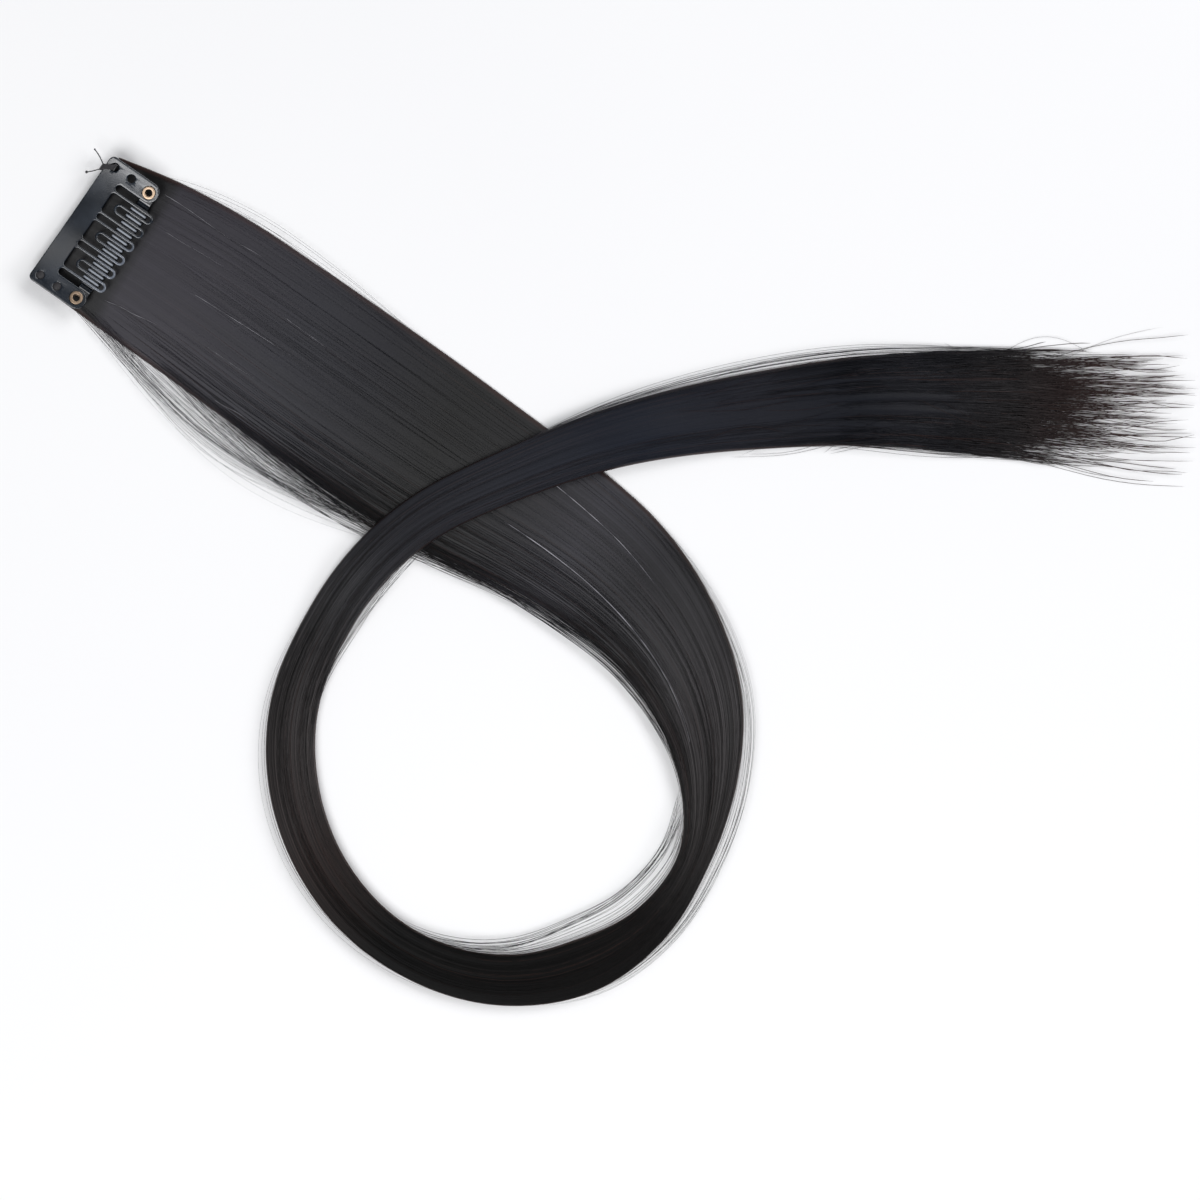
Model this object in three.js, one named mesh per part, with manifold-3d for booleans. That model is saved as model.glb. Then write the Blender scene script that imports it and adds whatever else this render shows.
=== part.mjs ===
// A clip in hair extension that lies on a table with its hair in one loop.
// Millimetres, +Z up. The clip's comb side, the side that faces the scalp, is up.
import * as THREE from 'three';
import { mergeVertices } from 'three/addons/utils/BufferGeometryUtils.js';
import Module from 'manifold-3d';

const wasm = await Module();
wasm.setup();

// Clearances
const seatGap = 0.3; // between pieces that touch on the real clip
const boreGap = 0.25; // between the bar and the sleeve round it, and round each rivet
const cutPast = 1; // how far a cutting solid runs past what it cuts
const weldWithin = 1e-5; // vertices closer than this are one

// Comb plate, in the clip's own frame: x along the clip, y = 0 at its back edge, teeth towards -y
const clipLength = 32;
const clipTurn = 55.3; // degrees from +X
const steelThick = 0.45;
const archRise = 1.2; // how far the ends stand above the middle
const archSteps = 15; // an odd count, so that the middle facet is level
const bandDepth = 4.6;
const armWidth = 4.5;
const backCorner = 1.2;
const windowCorner = 0.7;
const windowDepth = 2.1; // from the band to the arch between the two teeth of a pair
const toothPitch = 3.53;
const toothWidth = 2.3;
const wireWidth = 0.55;
const toothPastSleeve = 1.9;
const sewHole = 1.8; // diameter
const sewInset = 2; // of the first sewing hole, from the end and from the back
const sewPitch = 4.3; // from the first sewing hole to the second

// Rivets
const eyeletFromBack = 11.1;
const eyeletBore = 1.3;
const eyeletWall = 0.3;
const flangeWidth = 2.87;
const flangeThick = 0.25;
const eyeletSides = 14;

// Bar and sleeve
const barWidth = 2.8;
const barThick = 0.35;
const barAhead = 0.4; // of the line through the rivets
const tabWidth = 4; // of the bar's round ends, under the arms
const bareSteel = 1.3; // of the bar between an arm and the sleeve, where it is bent down
const sleeveWall = 0.2;
const sleeveCorner = 0.14;
const ribHeight = 0.12;
const ribPitch = 0.88;

// Sewing thread, wound through the first sewing hole and round the back edge
const windingThick = 0.45;
const windingCorner = 0.3;
const windingLean = 0.58; // sideways for each millimetre towards the back edge
const tailWidth = 0.3;
const tails = [
  { turn: -1, along: -2.2, out: 2.1 },
  { turn: 1, along: 1.6, out: 3.4 },
];
const tailDrop = 1.4;
const tailKnob = 0.6;

// Weft band
const weftDepth = 3.5;
const weftInset = 0.5; // from the clip's back edge and ends

// Hair
const hairLength = 560;
const bandWidth = 40; // where the hair is widest
const ropeThick = 5; // where the hair is drawn together
const lockSteps = 56;
const lockSides = 6;
const routeSteps = 400; // of the mid-line
const rampLength = 30; // of the rise to the crossing
const crown = 0.45; // how much thinner the hair is at its edges

// The mid-line of the hair: straight and round stretches, each a share of the length with its turn
const hairLean = 3.7; // degrees, between the hair where it leaves the clip and the clip's own square line
const stretches = [
  { share: 0.234, turn: -5 },
  { share: 0.059, turn: -23.5 },
  { share: 0.266, turn: -192 },
  { share: 0.156, turn: -84 },
  { share: 0.179, turn: -25.5 },
  { share: 0.106, turn: 0 },
];

// Sections of the hair: width is a share of bandWidth, thick one of ropeThick, shift is sideways in mm
const sections = [
  { at: 0.0, width: 0.775, thick: 0.3, shift: 0 },
  { at: 0.03, width: 0.871, thick: 0.31, shift: 0.6 },
  { at: 0.06, width: 0.932, thick: 0.333, shift: 0.3 },
  { at: 0.09, width: 0.962, thick: 0.377, shift: -0.6 },
  { at: 0.12, width: 0.972, thick: 0.4, shift: -1.2 },
  { at: 0.15, width: 0.965, thick: 0.41, shift: -1.4 },
  { at: 0.18, width: 0.93, thick: 0.42, shift: -1.2 },
  { at: 0.22, width: 0.835, thick: 0.469, shift: 0.1 },
  { at: 0.25, width: 0.762, thick: 0.5, shift: 0 },
  { at: 0.28, width: 0.631, thick: 0.604, shift: -0.3 },
  { at: 0.31, width: 0.487, thick: 0.697, shift: -1.2 },
  { at: 0.34, width: 0.306, thick: 0.9, shift: -1.4 },
  { at: 0.37, width: 0.172, thick: 1.0, shift: -0.4 },
  { at: 0.4, width: 0.211, thick: 0.96, shift: 0.2 },
  { at: 0.43, width: 0.284, thick: 0.92, shift: 0.1 },
  { at: 0.46, width: 0.268, thick: 0.912, shift: 0 },
  { at: 0.5, width: 0.243, thick: 0.9, shift: -0.4 },
  { at: 0.54, width: 0.25, thick: 0.89, shift: -0.1 },
  { at: 0.58, width: 0.26, thick: 0.88, shift: 1.1 },
  { at: 0.61, width: 0.254, thick: 0.848, shift: 1.3 },
  { at: 0.65, width: 0.243, thick: 0.8, shift: 0 },
  { at: 0.73, width: 0.27, thick: 0.68, shift: 0.2 },
  { at: 0.78, width: 0.318, thick: 0.632, shift: 0.9 },
  { at: 0.84, width: 0.41, thick: 0.58, shift: 0.5 },
  { at: 0.88, width: 0.473, thick: 0.54, shift: 0.8 },
  { at: 0.94, width: 0.563, thick: 0.46, shift: 1 },
  { at: 1.0, width: 0.6, thick: 0.36, shift: 1 },
];

// Locks: across is the place over the width, end the share of the length and fan how far the tip leans out
const lockHalf = 0.115; // radius of a lock, as a share of the hair's width
const lockFlat = 0.5; // a lock is flat below this share of its radius under its middle
const locks = [
  { across: -0.4, end: 0.985, fan: -0.13, phase: 0.1 },
  { across: -0.267, end: 1.0, fan: -0.12, phase: 0.6 },
  { across: -0.133, end: 0.976, fan: -0.05, phase: 0.3 },
  { across: 0.0, end: 0.966, fan: 0.0, phase: 0.9 },
  { across: 0.133, end: 0.984, fan: 0.02, phase: 0.5 },
  { across: 0.267, end: 0.971, fan: 0.06, phase: 0.2 },
  { across: 0.4, end: 0.986, fan: 0.14, phase: 0.8 },
];
const lockWander = 0.01; // sideways, as a share of the width
const lockWaves = 5;
const tipShare = 0.065; // of the length, over which a lock narrows
const tipWidth = 0.12;
const fanFrom = 0.88; // share of the length where the locks lean out
const settleShare = 0.12; // of the length, over which the weft's own width fades out
const lowerRun = 0.36; // the crossing's lower run ends before this share
const upperRun = 0.5; // and its upper run starts after this one

// Measures that follow from the sizes above
const lockStart = (weftInset + weftDepth / 2) / hairLength;
const halfLength = clipLength / 2;
const archRadius = (halfLength ** 2 + archRise ** 2) / (2 * archRise);
const armGap = clipLength - 2 * armWidth;
const eyeletInset = halfLength - armWidth / 2;
const windingWidth = sewHole - 2 * seatGap;
const windingX = halfLength - sewInset;
const barrelWidth = eyeletBore + 2 * eyeletWall;
const rivetHole = barrelWidth + 2 * boreGap;
const barLine = -(eyeletFromBack + barAhead);
const sleeveLength = armGap - 2 * bareSteel;
const boreWidth = barWidth + 2 * boreGap;
const sleeveWidth = boreWidth + 2 * sleeveWall;
const barDrop = ribHeight + sleeveWall + boreGap; // of the bar's middle below its ends
const barTop = -(seatGap + barDrop);
const sleeveBottom = barTop - barThick - boreGap - sleeveWall - ribHeight;
const toothReach = -barLine + sleeveWidth / 2 + toothPastSleeve;
const clipHeight = ropeThick * sizeAt('thick', toothReach / hairLength) + seatGap - sleeveBottom;

// Materials
const lacqueredSteel = { color: 0x15171f, roughness: 0.22, metalness: 0.85 };
const darkRubber = { color: 0x1b1d22, roughness: 0.5, metalness: 0 };
const paleBrass = { color: 0xcdbd8c, roughness: 0.25, metalness: 1 };
const sewingThread = { color: 0x17161a, roughness: 0.8, metalness: 0 };
const nearBlackHair = { color: 0x242126, roughness: 0.4, metalness: 0 };

function smooth(share) {
  const kept = THREE.MathUtils.clamp(share, 0, 1);
  return kept * kept * (3 - 2 * kept);
}

function sizeAt(column, share) {
  const last = sections.length - 1;
  const kept = THREE.MathUtils.clamp(share, 0, 1);
  const next = Math.max(1, sections.findIndex((row) => row.at >= kept));
  const slopeAt = (i) => {
    const low = sections[Math.max(i - 1, 0)];
    const high = sections[Math.min(i + 1, last)];
    return (high[column] - low[column]) / (high.at - low.at);
  };
  const before = sections[next - 1];
  const after = sections[next];
  const span = after.at - before.at;
  const t = (kept - before.at) / span;
  const held = (1 + 2 * t) * (1 - t) ** 2 * before[column] + t ** 2 * (3 - 2 * t) * after[column];
  return held + t * (1 - t) ** 2 * span * slopeAt(next - 1) - t ** 2 * (1 - t) * span * slopeAt(next);
}

// The hair's width, which starts as the weft's
function hairWidth(share) {
  const start = clipLength - 2 * weftInset - bandWidth * sections[0].width;
  return bandWidth * sizeAt('width', share) + start * (1 - smooth(share / settleShare));
}

// Solids and meshes

function toSolid(geometry) {
  const bare = geometry.clone();
  bare.deleteAttribute('normal');
  bare.deleteAttribute('uv');
  const merged = mergeVertices(bare, weldWithin);
  const vertProperties = new Float32Array(merged.attributes.position.array);
  const triVerts = new Uint32Array(merged.index.array);
  return new wasm.Manifold(new wasm.Mesh({ numProp: 3, vertProperties, triVerts }));
}

function toGeometry(solid) {
  const { vertProperties, triVerts } = solid.getMesh();
  const geometry = new THREE.BufferGeometry();
  geometry.setAttribute('position', new THREE.BufferAttribute(vertProperties, 3));
  geometry.setIndex(new THREE.BufferAttribute(triVerts, 1));
  geometry.computeVertexNormals();
  return geometry;
}

function piece(name, solid, finish) {
  const mesh = new THREE.Mesh(toGeometry(solid), new THREE.MeshStandardMaterial(finish));
  mesh.name = name;
  return mesh;
}

// The height of the clip's arch above its middle
function archAt(x) {
  return archRadius - Math.sqrt(archRadius ** 2 - x ** 2);
}

// A strip between two heights, each a function of x, that runs from -reach to reach and over a stretch of y
function stripSolid(reach, yFrom, yTo, lowAt, highAt, stops) {
  const places = stops ?? Array.from({ length: archSteps + 1 }, (_, i) => reach * (2 * i / archSteps - 1));
  const lower = places.map((x) => new THREE.Vector2(x, lowAt(x)));
  const upper = places.map((x) => new THREE.Vector2(x, highAt(x))).reverse();
  const side = new THREE.Shape([...lower, ...upper]);
  const strip = new THREE.ExtrudeGeometry(side, { depth: yTo - yFrom, bevelEnabled: false });
  strip.rotateX(Math.PI / 2);
  strip.translate(0, yTo, 0);
  return toSolid(strip);
}

function prismSolid(outline, curveSegments) {
  const height = clipHeight + 2 * archRise;
  const prism = new THREE.ExtrudeGeometry(outline, { depth: 2 * height, bevelEnabled: false, curveSegments });
  prism.translate(0, 0, -height);
  return toSolid(prism);
}

function roundHole(x, y, width) {
  return new THREE.Path().absarc(x, y, width / 2, 0, 2 * Math.PI, true);
}

// Comb plate

function toothPairs() {
  const pairWidth = 2 * toothPitch;
  const count = Math.floor(armGap / pairWidth);
  return Array.from({ length: count }, (_, i) => (i - (count - 1) / 2) * pairWidth);
}

// The outer edge of one pair of teeth, from its first outer leg round to its last one
function pairEdge(outline, middle) {
  const tip = toothWidth / 2;
  const tipY = -(toothReach - tip);
  const between = toothPitch / 2 - tip;
  outline.absarc(middle - toothPitch / 2, tipY, tip, Math.PI, 2 * Math.PI, false);
  outline.absarc(middle, -(bandDepth + windowDepth + wireWidth + between), between, Math.PI, 0, true);
  outline.absarc(middle + toothPitch / 2, tipY, tip, Math.PI, 2 * Math.PI, false);
}

// The round top of the slot between two legs, or between a leg and an arm
function slotTop(outline, left, right) {
  const round = (right - left) / 2;
  outline.absarc(left + round, -(bandDepth + round), round, Math.PI, 0, true);
}

// The window inside one pair of teeth, which the arch between them reaches up into
function pairWindow(middle) {
  const tip = toothWidth / 2 - wireWidth;
  const tipY = -(toothReach - toothWidth / 2);
  const left = middle - toothPitch / 2;
  const right = middle + toothPitch / 2;
  const arch = (toothPitch - toothWidth) / 2 + wireWidth;
  const archY = -(bandDepth + windowDepth + arch);
  const cornerY = -(bandDepth + windowCorner);
  const window = new THREE.Path();
  window.absarc(left - tip + windowCorner, cornerY, windowCorner, Math.PI, Math.PI / 2, true);
  window.absarc(right + tip - windowCorner, cornerY, windowCorner, Math.PI / 2, 0, true);
  window.absarc(right, tipY, tip, 2 * Math.PI, Math.PI, true);
  window.absarc(middle, archY, arch, 0, Math.PI, false);
  window.absarc(left, tipY, tip, 2 * Math.PI, Math.PI, true);
  window.closePath();
  return window;
}

function combOutline() {
  const arm = armWidth / 2;
  const outline = new THREE.Shape();
  outline.absarc(-halfLength + backCorner, -backCorner, backCorner, Math.PI / 2, Math.PI, false);
  outline.absarc(-eyeletInset, -eyeletFromBack, arm, Math.PI, 2 * Math.PI, false);
  const pairHalf = (toothPitch + toothWidth) / 2;
  let slotStart = -armGap / 2;
  for (const middle of toothPairs()) {
    slotTop(outline, slotStart, middle - pairHalf);
    pairEdge(outline, middle);
    slotStart = middle + pairHalf;
  }
  slotTop(outline, slotStart, armGap / 2);
  outline.absarc(eyeletInset, -eyeletFromBack, arm, Math.PI, 2 * Math.PI, false);
  outline.absarc(halfLength - backCorner, -backCorner, backCorner, 0, Math.PI / 2, false);
  outline.closePath();
  toothPairs().forEach((middle) => outline.holes.push(pairWindow(middle)));
  for (const end of [-1, 1]) {
    const x = end * (halfLength - sewInset);
    outline.holes.push(roundHole(x, -sewInset, sewHole));
    outline.holes.push(roundHole(x, -(sewInset + sewPitch), sewHole));
    outline.holes.push(roundHole(end * eyeletInset, -eyeletFromBack, rivetHole));
  }
  return outline;
}

function combPlate() {
  const top = (x) => archAt(x) + steelThick;
  const arched = stripSolid(halfLength + cutPast, -toothReach - cutPast, cutPast, archAt, top);
  return piece('comb_plate', prismSolid(combOutline(), 4).intersect(arched), lacqueredSteel);
}

// Front bar

// How far the bar lies below its ends: 0 under an arm, barDrop under the sleeve
function joggleAt(x) {
  return barDrop * smooth((armGap / 2 - Math.abs(x)) / bareSteel);
}

// Where the bar's facets meet: close together where it is bent down, and even under the sleeve
function barStops() {
  const bend = [0, 0.25, 0.5, 0.75, 1].map((share) => sleeveLength / 2 + share * bareSteel);
  const outer = [...bend, halfLength];
  const inner = Array.from({ length: archSteps - 1 }, (_, i) => sleeveLength * ((i + 1) / archSteps - 0.5));
  return [...outer.map((x) => -x).reverse(), ...inner, ...outer];
}

function roundPrism(x, y, width) {
  return prismSolid(new THREE.Shape().absarc(x, y, width / 2, 0, 2 * Math.PI, false), 6);
}

function frontBar() {
  const front = barLine - barWidth / 2;
  const back = barLine + barWidth / 2;
  const straight = new THREE.Shape();
  straight.moveTo(-eyeletInset, front);
  straight.lineTo(eyeletInset, front);
  straight.lineTo(eyeletInset, back);
  straight.lineTo(-eyeletInset, back);
  straight.closePath();
  let plan = prismSolid(straight, 1);
  for (const x of [-eyeletInset, eyeletInset]) {
    plan = plan.add(roundPrism(x, -eyeletFromBack, tabWidth));
    plan = plan.subtract(roundPrism(x, -eyeletFromBack, rivetHole));
  }
  const top = (x) => archAt(x) - seatGap - joggleAt(x);
  const low = (x) => top(x) - barThick;
  const reach = Math.max(tabWidth, barWidth) + barAhead;
  const arched = stripSolid(halfLength, barLine - reach, barLine + reach, low, top, barStops());
  return piece('front_bar', plan.intersect(arched), lacqueredSteel);
}

// Grip sleeve: a tube of rounded section with a rib at each pitch, bored for the bar

function gripSleeve() {
  const ribs = Math.round(sleeveLength / ribPitch);
  const sides = 8;
  const tube = new THREE.CylinderGeometry(1, 1, 1, sides, 2 * ribs);
  tube.rotateY(Math.PI / sides);
  tube.rotateZ(-Math.PI / 2);
  const places = tube.attributes.position;
  const halfWidth = sleeveWidth / 2;
  const halfHeight = barThick / 2 + boreGap + sleeveWall;
  for (let i = 0; i < places.count; i++) {
    const x = places.getX(i) * sleeveLength;
    const onRib = Math.round((places.getX(i) + 0.5) * 2 * ribs) % 2 === 1;
    const proud = onRib ? ribHeight : 0;
    const onSide = Math.abs(places.getY(i)) > Math.abs(places.getZ(i));
    const across = Math.sign(places.getY(i)) * (halfWidth + proud - (onSide ? 0 : sleeveCorner));
    const up = Math.sign(places.getZ(i)) * (halfHeight + proud - (onSide ? sleeveCorner : 0));
    places.setXYZ(i, x, barLine + across, archAt(x) + barTop - barThick / 2 + up);
  }
  const low = (x) => archAt(x) + barTop - barThick - boreGap;
  const high = (x) => archAt(x) + barTop + boreGap;
  const bore = stripSolid(sleeveLength, barLine - boreWidth / 2, barLine + boreWidth / 2, low, high);
  return piece('grip_sleeve', toSolid(tube).subtract(bore), darkRubber);
}

// Rivets

function eyelet(name, side) {
  const inside = eyeletBore / 2;
  const barrel = barrelWidth / 2;
  const flange = flangeWidth / 2;
  const above = steelThick + boreGap;
  const below = -(seatGap + barThick + boreGap);
  const profile = [
    [inside, below - flangeThick],
    [flange - flangeThick / 2, below - flangeThick],
    [flange, below - flangeThick / 2],
    [flange - flangeThick / 2, below],
    [barrel, below],
    [barrel, above],
    [flange - flangeThick / 2, above],
    [flange, above + flangeThick / 2],
    [flange - flangeThick / 2, above + flangeThick],
    [inside, above + flangeThick],
    [inside, below - flangeThick],
  ];
  const points = profile.map(([radius, height]) => new THREE.Vector2(radius, height));
  const ring = new THREE.LatheGeometry(points, eyeletSides);
  ring.rotateX(Math.PI / 2);
  const mesh = piece(name, toSolid(ring), paleBrass);
  mesh.position.set(side * eyeletInset, -eyeletFromBack, archAt(eyeletInset));
  mesh.rotation.y = -side * Math.asin(eyeletInset / archRadius);
  return mesh;
}

// Sewing thread

function threadSolid(points, width, steps) {
  const circle = new THREE.Shape().absarc(0, 0, width / 2, 0, 2 * Math.PI, false);
  const path = new THREE.CatmullRomCurve3(points.map(([x, y, z]) => new THREE.Vector3(x, y, z)));
  return toSolid(new THREE.ExtrudeGeometry(circle, { steps, extrudePath: path, curveSegments: 3 }));
}

// A flat winding through the first sewing hole at one end and round the back edge, with two loose tails
function threadTie() {
  const floor = archAt(windingX);
  const middle = floor + steelThick / 2;
  const halfHeight = steelThick / 2 + seatGap;
  const section = new THREE.Shape();
  roundedBox(section, -sewInset - windingThick / 2, seatGap + windingThick, halfHeight + windingThick);
  const inside = new THREE.Path();
  roundedBox(inside, -sewInset + windingThick / 2, seatGap, halfHeight);
  section.holes.push(inside);
  const shape = { depth: windingWidth, bevelEnabled: false, curveSegments: 2 };
  const winding = new THREE.ExtrudeGeometry(section, shape);
  winding.rotateX(Math.PI / 2);
  winding.rotateZ(Math.PI / 2);
  winding.translate(windingX - windingWidth / 2, 0, middle);
  const lean = new THREE.Matrix4().makeShear(0, 0, -windingLean, 0, 0, 0);
  winding.translate(0, sewInset, 0);
  winding.applyMatrix4(lean);
  winding.translate(0, -sewInset, 0);
  let tie = toSolid(winding);
  for (const { turn, along, out } of tails) {
    const back = seatGap + windingThick / 2;
    const foot = windingX - windingLean * (back + sewInset) + turn * (windingWidth - tailWidth) / 2;
    const tip = [foot + along, back + out, middle - tailDrop];
    const knob = new THREE.SphereGeometry(tailKnob / 2, 6, 4);
    knob.translate(...tip);
    const tail = [[foot, back, middle], [foot + along / 2, back + out / 2, middle], tip];
    tie = tie.add(threadSolid(tail, tailWidth, 4)).add(toSolid(knob));
  }
  return piece('thread_tie', tie, sewingThread);
}

// A box with round corners, from one place to another along x and centred in y
function roundedBox(path, from, to, halfHeight) {
  const corner = windingCorner;
  path.absarc(to - corner, -halfHeight + corner, corner, -Math.PI / 2, 0, false);
  path.absarc(to - corner, halfHeight - corner, corner, 0, Math.PI / 2, false);
  path.absarc(from + corner, halfHeight - corner, corner, Math.PI / 2, Math.PI, false);
  path.absarc(from + corner, -halfHeight + corner, corner, Math.PI, 1.5 * Math.PI, false);
  path.closePath();
}

// Hair

// Points along the mid-line, from the clip's back edge to the ends of the hair
function midLine() {
  const spots = [];
  const place = new THREE.Vector2(0, 0);
  for (let i = 0; i <= routeSteps; i++) {
    const share = i / routeSteps;
    const heading = headingAt(share);
    spots.push({ share, heading, x: place.x, y: place.y });
    place.x += hairLength / routeSteps * Math.cos(heading);
    place.y += hairLength / routeSteps * Math.sin(heading);
  }
  return spots;
}

function headingAt(share) {
  let degrees = clipTurn - 90 + hairLean;
  let start = 0;
  for (const stretch of stretches) {
    degrees += stretch.turn * THREE.MathUtils.clamp((share - start) / stretch.share, 0, 1);
    start += stretch.share;
  }
  return THREE.MathUtils.degToRad(degrees);
}

const route = midLine();

function routeAt(share) {
  const place = THREE.MathUtils.clamp(share, 0, 1) * routeSteps;
  const before = route[Math.floor(place)];
  const after = route[Math.ceil(place)];
  const part = place - Math.floor(place);
  const x = before.x + part * (after.x - before.x);
  const y = before.y + part * (after.y - before.y);
  return { x, y, heading: headingAt(share) };
}

// How far the upper run is lifted at a spot, so that it passes over the lower run in a long low hump
function liftAt(spot, share, halfWidth) {
  if (share < upperRun) return 0;
  let lift = 0;
  for (const lower of route.filter((row) => row.share < lowerRun)) {
    const clear = hairWidth(lower.share) / 2 + halfWidth + seatGap;
    const away = Math.hypot(spot.x - lower.x, spot.y - lower.y) - clear;
    const top = ropeThick * sizeAt('thick', lower.share) + seatGap;
    lift = Math.max(lift, top * (1 - smooth(away / rampLength)));
  }
  return lift;
}

// One lock: a flat-bottomed oval section that follows the mid-line at its own place over the width
function lockSolid(lock) {
  const tube = new THREE.CylinderGeometry(1, 1, 1, lockSides, lockSteps);
  const places = tube.attributes.position;
  for (let i = 0; i < places.count; i++) {
    const share = THREE.MathUtils.mapLinear(places.getY(i), 0.5, -0.5, lockStart, lock.end);
    const middle = routeAt(share);
    const width = hairWidth(share);
    const wander = lockWander * Math.sin(2 * Math.PI * (share * lockWaves + lock.phase));
    const lean = lock.fan * smooth((share - fanFrom) / (1 - fanFrom));
    const across = (lock.across + wander + lean) * width + sizeAt('shift', share);
    const rest = 1 - smooth((share - lock.end + tipShare) / tipShare) * (1 - tipWidth);
    const taper = Math.sqrt(rest);
    const halfWidth = lockHalf * width * taper;
    const centre = {
      x: middle.x - across * Math.sin(middle.heading),
      y: middle.y + across * Math.cos(middle.heading),
    };
    const thick = ropeThick * sizeAt('thick', share) * (1 - crown * (2 * lock.across) ** 2) * taper;
    const up = Math.max(0, (places.getZ(i) + lockFlat) / (1 + lockFlat));
    const side = places.getX(i) * halfWidth;
    const x = centre.x - side * Math.sin(middle.heading);
    const y = centre.y + side * Math.cos(middle.heading);
    places.setXYZ(i, x, y, up * thick + liftAt(centre, share, halfWidth));
  }
  return toSolid(tube);
}

// The sewn band that the hair is fused to, flat below and arched above as the clip is
function weftSolid() {
  const front = -(weftInset + weftDepth);
  const top = (x) => clipHeight + archAt(x) - seatGap;
  const weft = stripSolid(halfLength - weftInset, front, -weftInset, () => 0, top);
  const lean = windingLean * sewInset;
  const notchWidth = windingWidth + lean + 3 * seatGap;
  const notchLow = clipHeight + archAt(windingX) - 2 * seatGap - windingThick;
  const notch = new THREE.BoxGeometry(notchWidth, sewInset + sewHole, clipHeight);
  notch.translate(windingX - lean / 2, -sewInset / 2, notchLow + clipHeight / 2);
  return weft.subtract(toSolid(notch));
}

function hairWeft() {
  const turned = new THREE.Matrix4().makeRotationZ(THREE.MathUtils.degToRad(clipTurn));
  const weft = toSolid(toGeometry(weftSolid()).applyMatrix4(turned));
  const hair = locks.reduce((solid, lock) => solid.add(lockSolid(lock)), weft);
  return piece('hair_weft', hair, nearBlackHair);
}

// The clip, then the whole, with its origin under the middle of its box

const clip = new THREE.Group();
clip.add(combPlate());
clip.add(frontBar());
clip.add(gripSleeve());
clip.add(eyelet('eyelet_left', -1));
clip.add(eyelet('eyelet_right', 1));
clip.add(threadTie());
clip.position.z = clipHeight;
clip.rotation.z = THREE.MathUtils.degToRad(clipTurn);

const extension = new THREE.Group();
extension.add(clip);
extension.add(hairWeft());

const box = new THREE.Box3().setFromObject(extension, true);
const middle = box.getCenter(new THREE.Vector3());
extension.position.set(-middle.x, -middle.y, -box.min.z);

export default extension;
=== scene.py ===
# Clip in hair extension on a pale table, seen from straight above with the clip's comb side up
import bpy
import bmesh
import math
import numpy as np
from mathutils import Matrix, Vector


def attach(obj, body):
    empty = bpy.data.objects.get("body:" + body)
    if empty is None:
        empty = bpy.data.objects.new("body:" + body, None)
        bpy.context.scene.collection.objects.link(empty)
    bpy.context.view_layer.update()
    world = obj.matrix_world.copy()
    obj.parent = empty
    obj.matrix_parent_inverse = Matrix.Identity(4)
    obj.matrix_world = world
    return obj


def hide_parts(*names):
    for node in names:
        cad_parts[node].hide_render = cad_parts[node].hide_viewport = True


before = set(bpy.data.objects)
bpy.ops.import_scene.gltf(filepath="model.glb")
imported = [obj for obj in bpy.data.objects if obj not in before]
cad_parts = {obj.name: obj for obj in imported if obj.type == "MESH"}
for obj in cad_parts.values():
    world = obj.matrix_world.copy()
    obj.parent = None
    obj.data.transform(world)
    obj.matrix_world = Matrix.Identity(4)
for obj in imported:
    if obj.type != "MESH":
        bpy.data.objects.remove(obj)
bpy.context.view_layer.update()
mm = 0.001
sceneRoot = bpy.context.scene
print("frame loaded:", sorted(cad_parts))


# Camera, lights and table

view = {
    "centre": (-1.704, -4.839),  # millimetres, the middle of the photograph
    "across": 257.8,  # millimetres seen from side to side
    "distance": 1.6,
    "sensor": 36,
}
studio = {
    "world": (0.93, 0.96, 1.0),
    "worldStrength": 0.14,
    "lampTint": (0.99, 0.99, 1.0),
    "lamps": [  # turn is the side the lamp stands on, in degrees from +X
        {"name": "lowerLeftSoftbox", "turn": 232, "rise": 60, "away": 1.3, "size": 0.75, "power": 11},
        {"name": "upperRightSoftbox", "turn": 50, "rise": 50, "away": 1.4, "size": 0.7, "power": 6.5},
        {"name": "rightSoftbox", "turn": 0, "rise": 45, "away": 1.4, "size": 0.6, "power": 4.6},
        {"name": "overheadPanel", "turn": 110, "rise": 77.3, "away": 1.46, "size": 0.2, "power": 0.2},
    ],
    "tableSize": 3.0,
}


def makeCamera():
    lens = bpy.data.cameras.new("camera")
    lens.sensor_width = view["sensor"]
    lens.lens = view["sensor"] * view["distance"] / (view["across"] * mm)
    lens.clip_end = 20
    camera = bpy.data.objects.new("camera", lens)
    camera.location = (view["centre"][0] * mm, view["centre"][1] * mm, view["distance"])
    sceneRoot.collection.objects.link(camera)
    sceneRoot.camera = camera


def makeLamps():
    world = bpy.data.worlds.new("studio")
    world.use_nodes = True
    background = world.node_tree.nodes["Background"]
    background.inputs["Color"].default_value = (*studio["world"], 1)
    background.inputs["Strength"].default_value = studio["worldStrength"]
    sceneRoot.world = world
    for lamp in studio["lamps"]:
        data = bpy.data.lights.new(lamp["name"], "AREA")
        data.shape = "SQUARE"
        data.size = lamp["size"]
        data.energy = lamp["power"]
        data.color = studio["lampTint"]
        turn, rise = math.radians(lamp["turn"]), math.radians(lamp["rise"])
        place = Vector((math.cos(turn) * math.cos(rise), math.sin(turn) * math.cos(rise), math.sin(rise)))
        holder = bpy.data.objects.new(lamp["name"], data)
        holder.location = place * lamp["away"]
        holder.rotation_euler = place.to_track_quat("Z", "Y").to_euler()
        sceneRoot.collection.objects.link(holder)
    sceneRoot.view_settings.view_transform = "Standard"


makeCamera()
makeLamps()
print("camera and lamps made")


# Materials

def linear(hexColour):
    parts = [int(hexColour[i:i + 2], 16) / 255 for i in (1, 3, 5)]
    return (*[c / 12.92 if c <= 0.04045 else ((c + 0.055) / 1.055) ** 2.4 for c in parts], 1)


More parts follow.
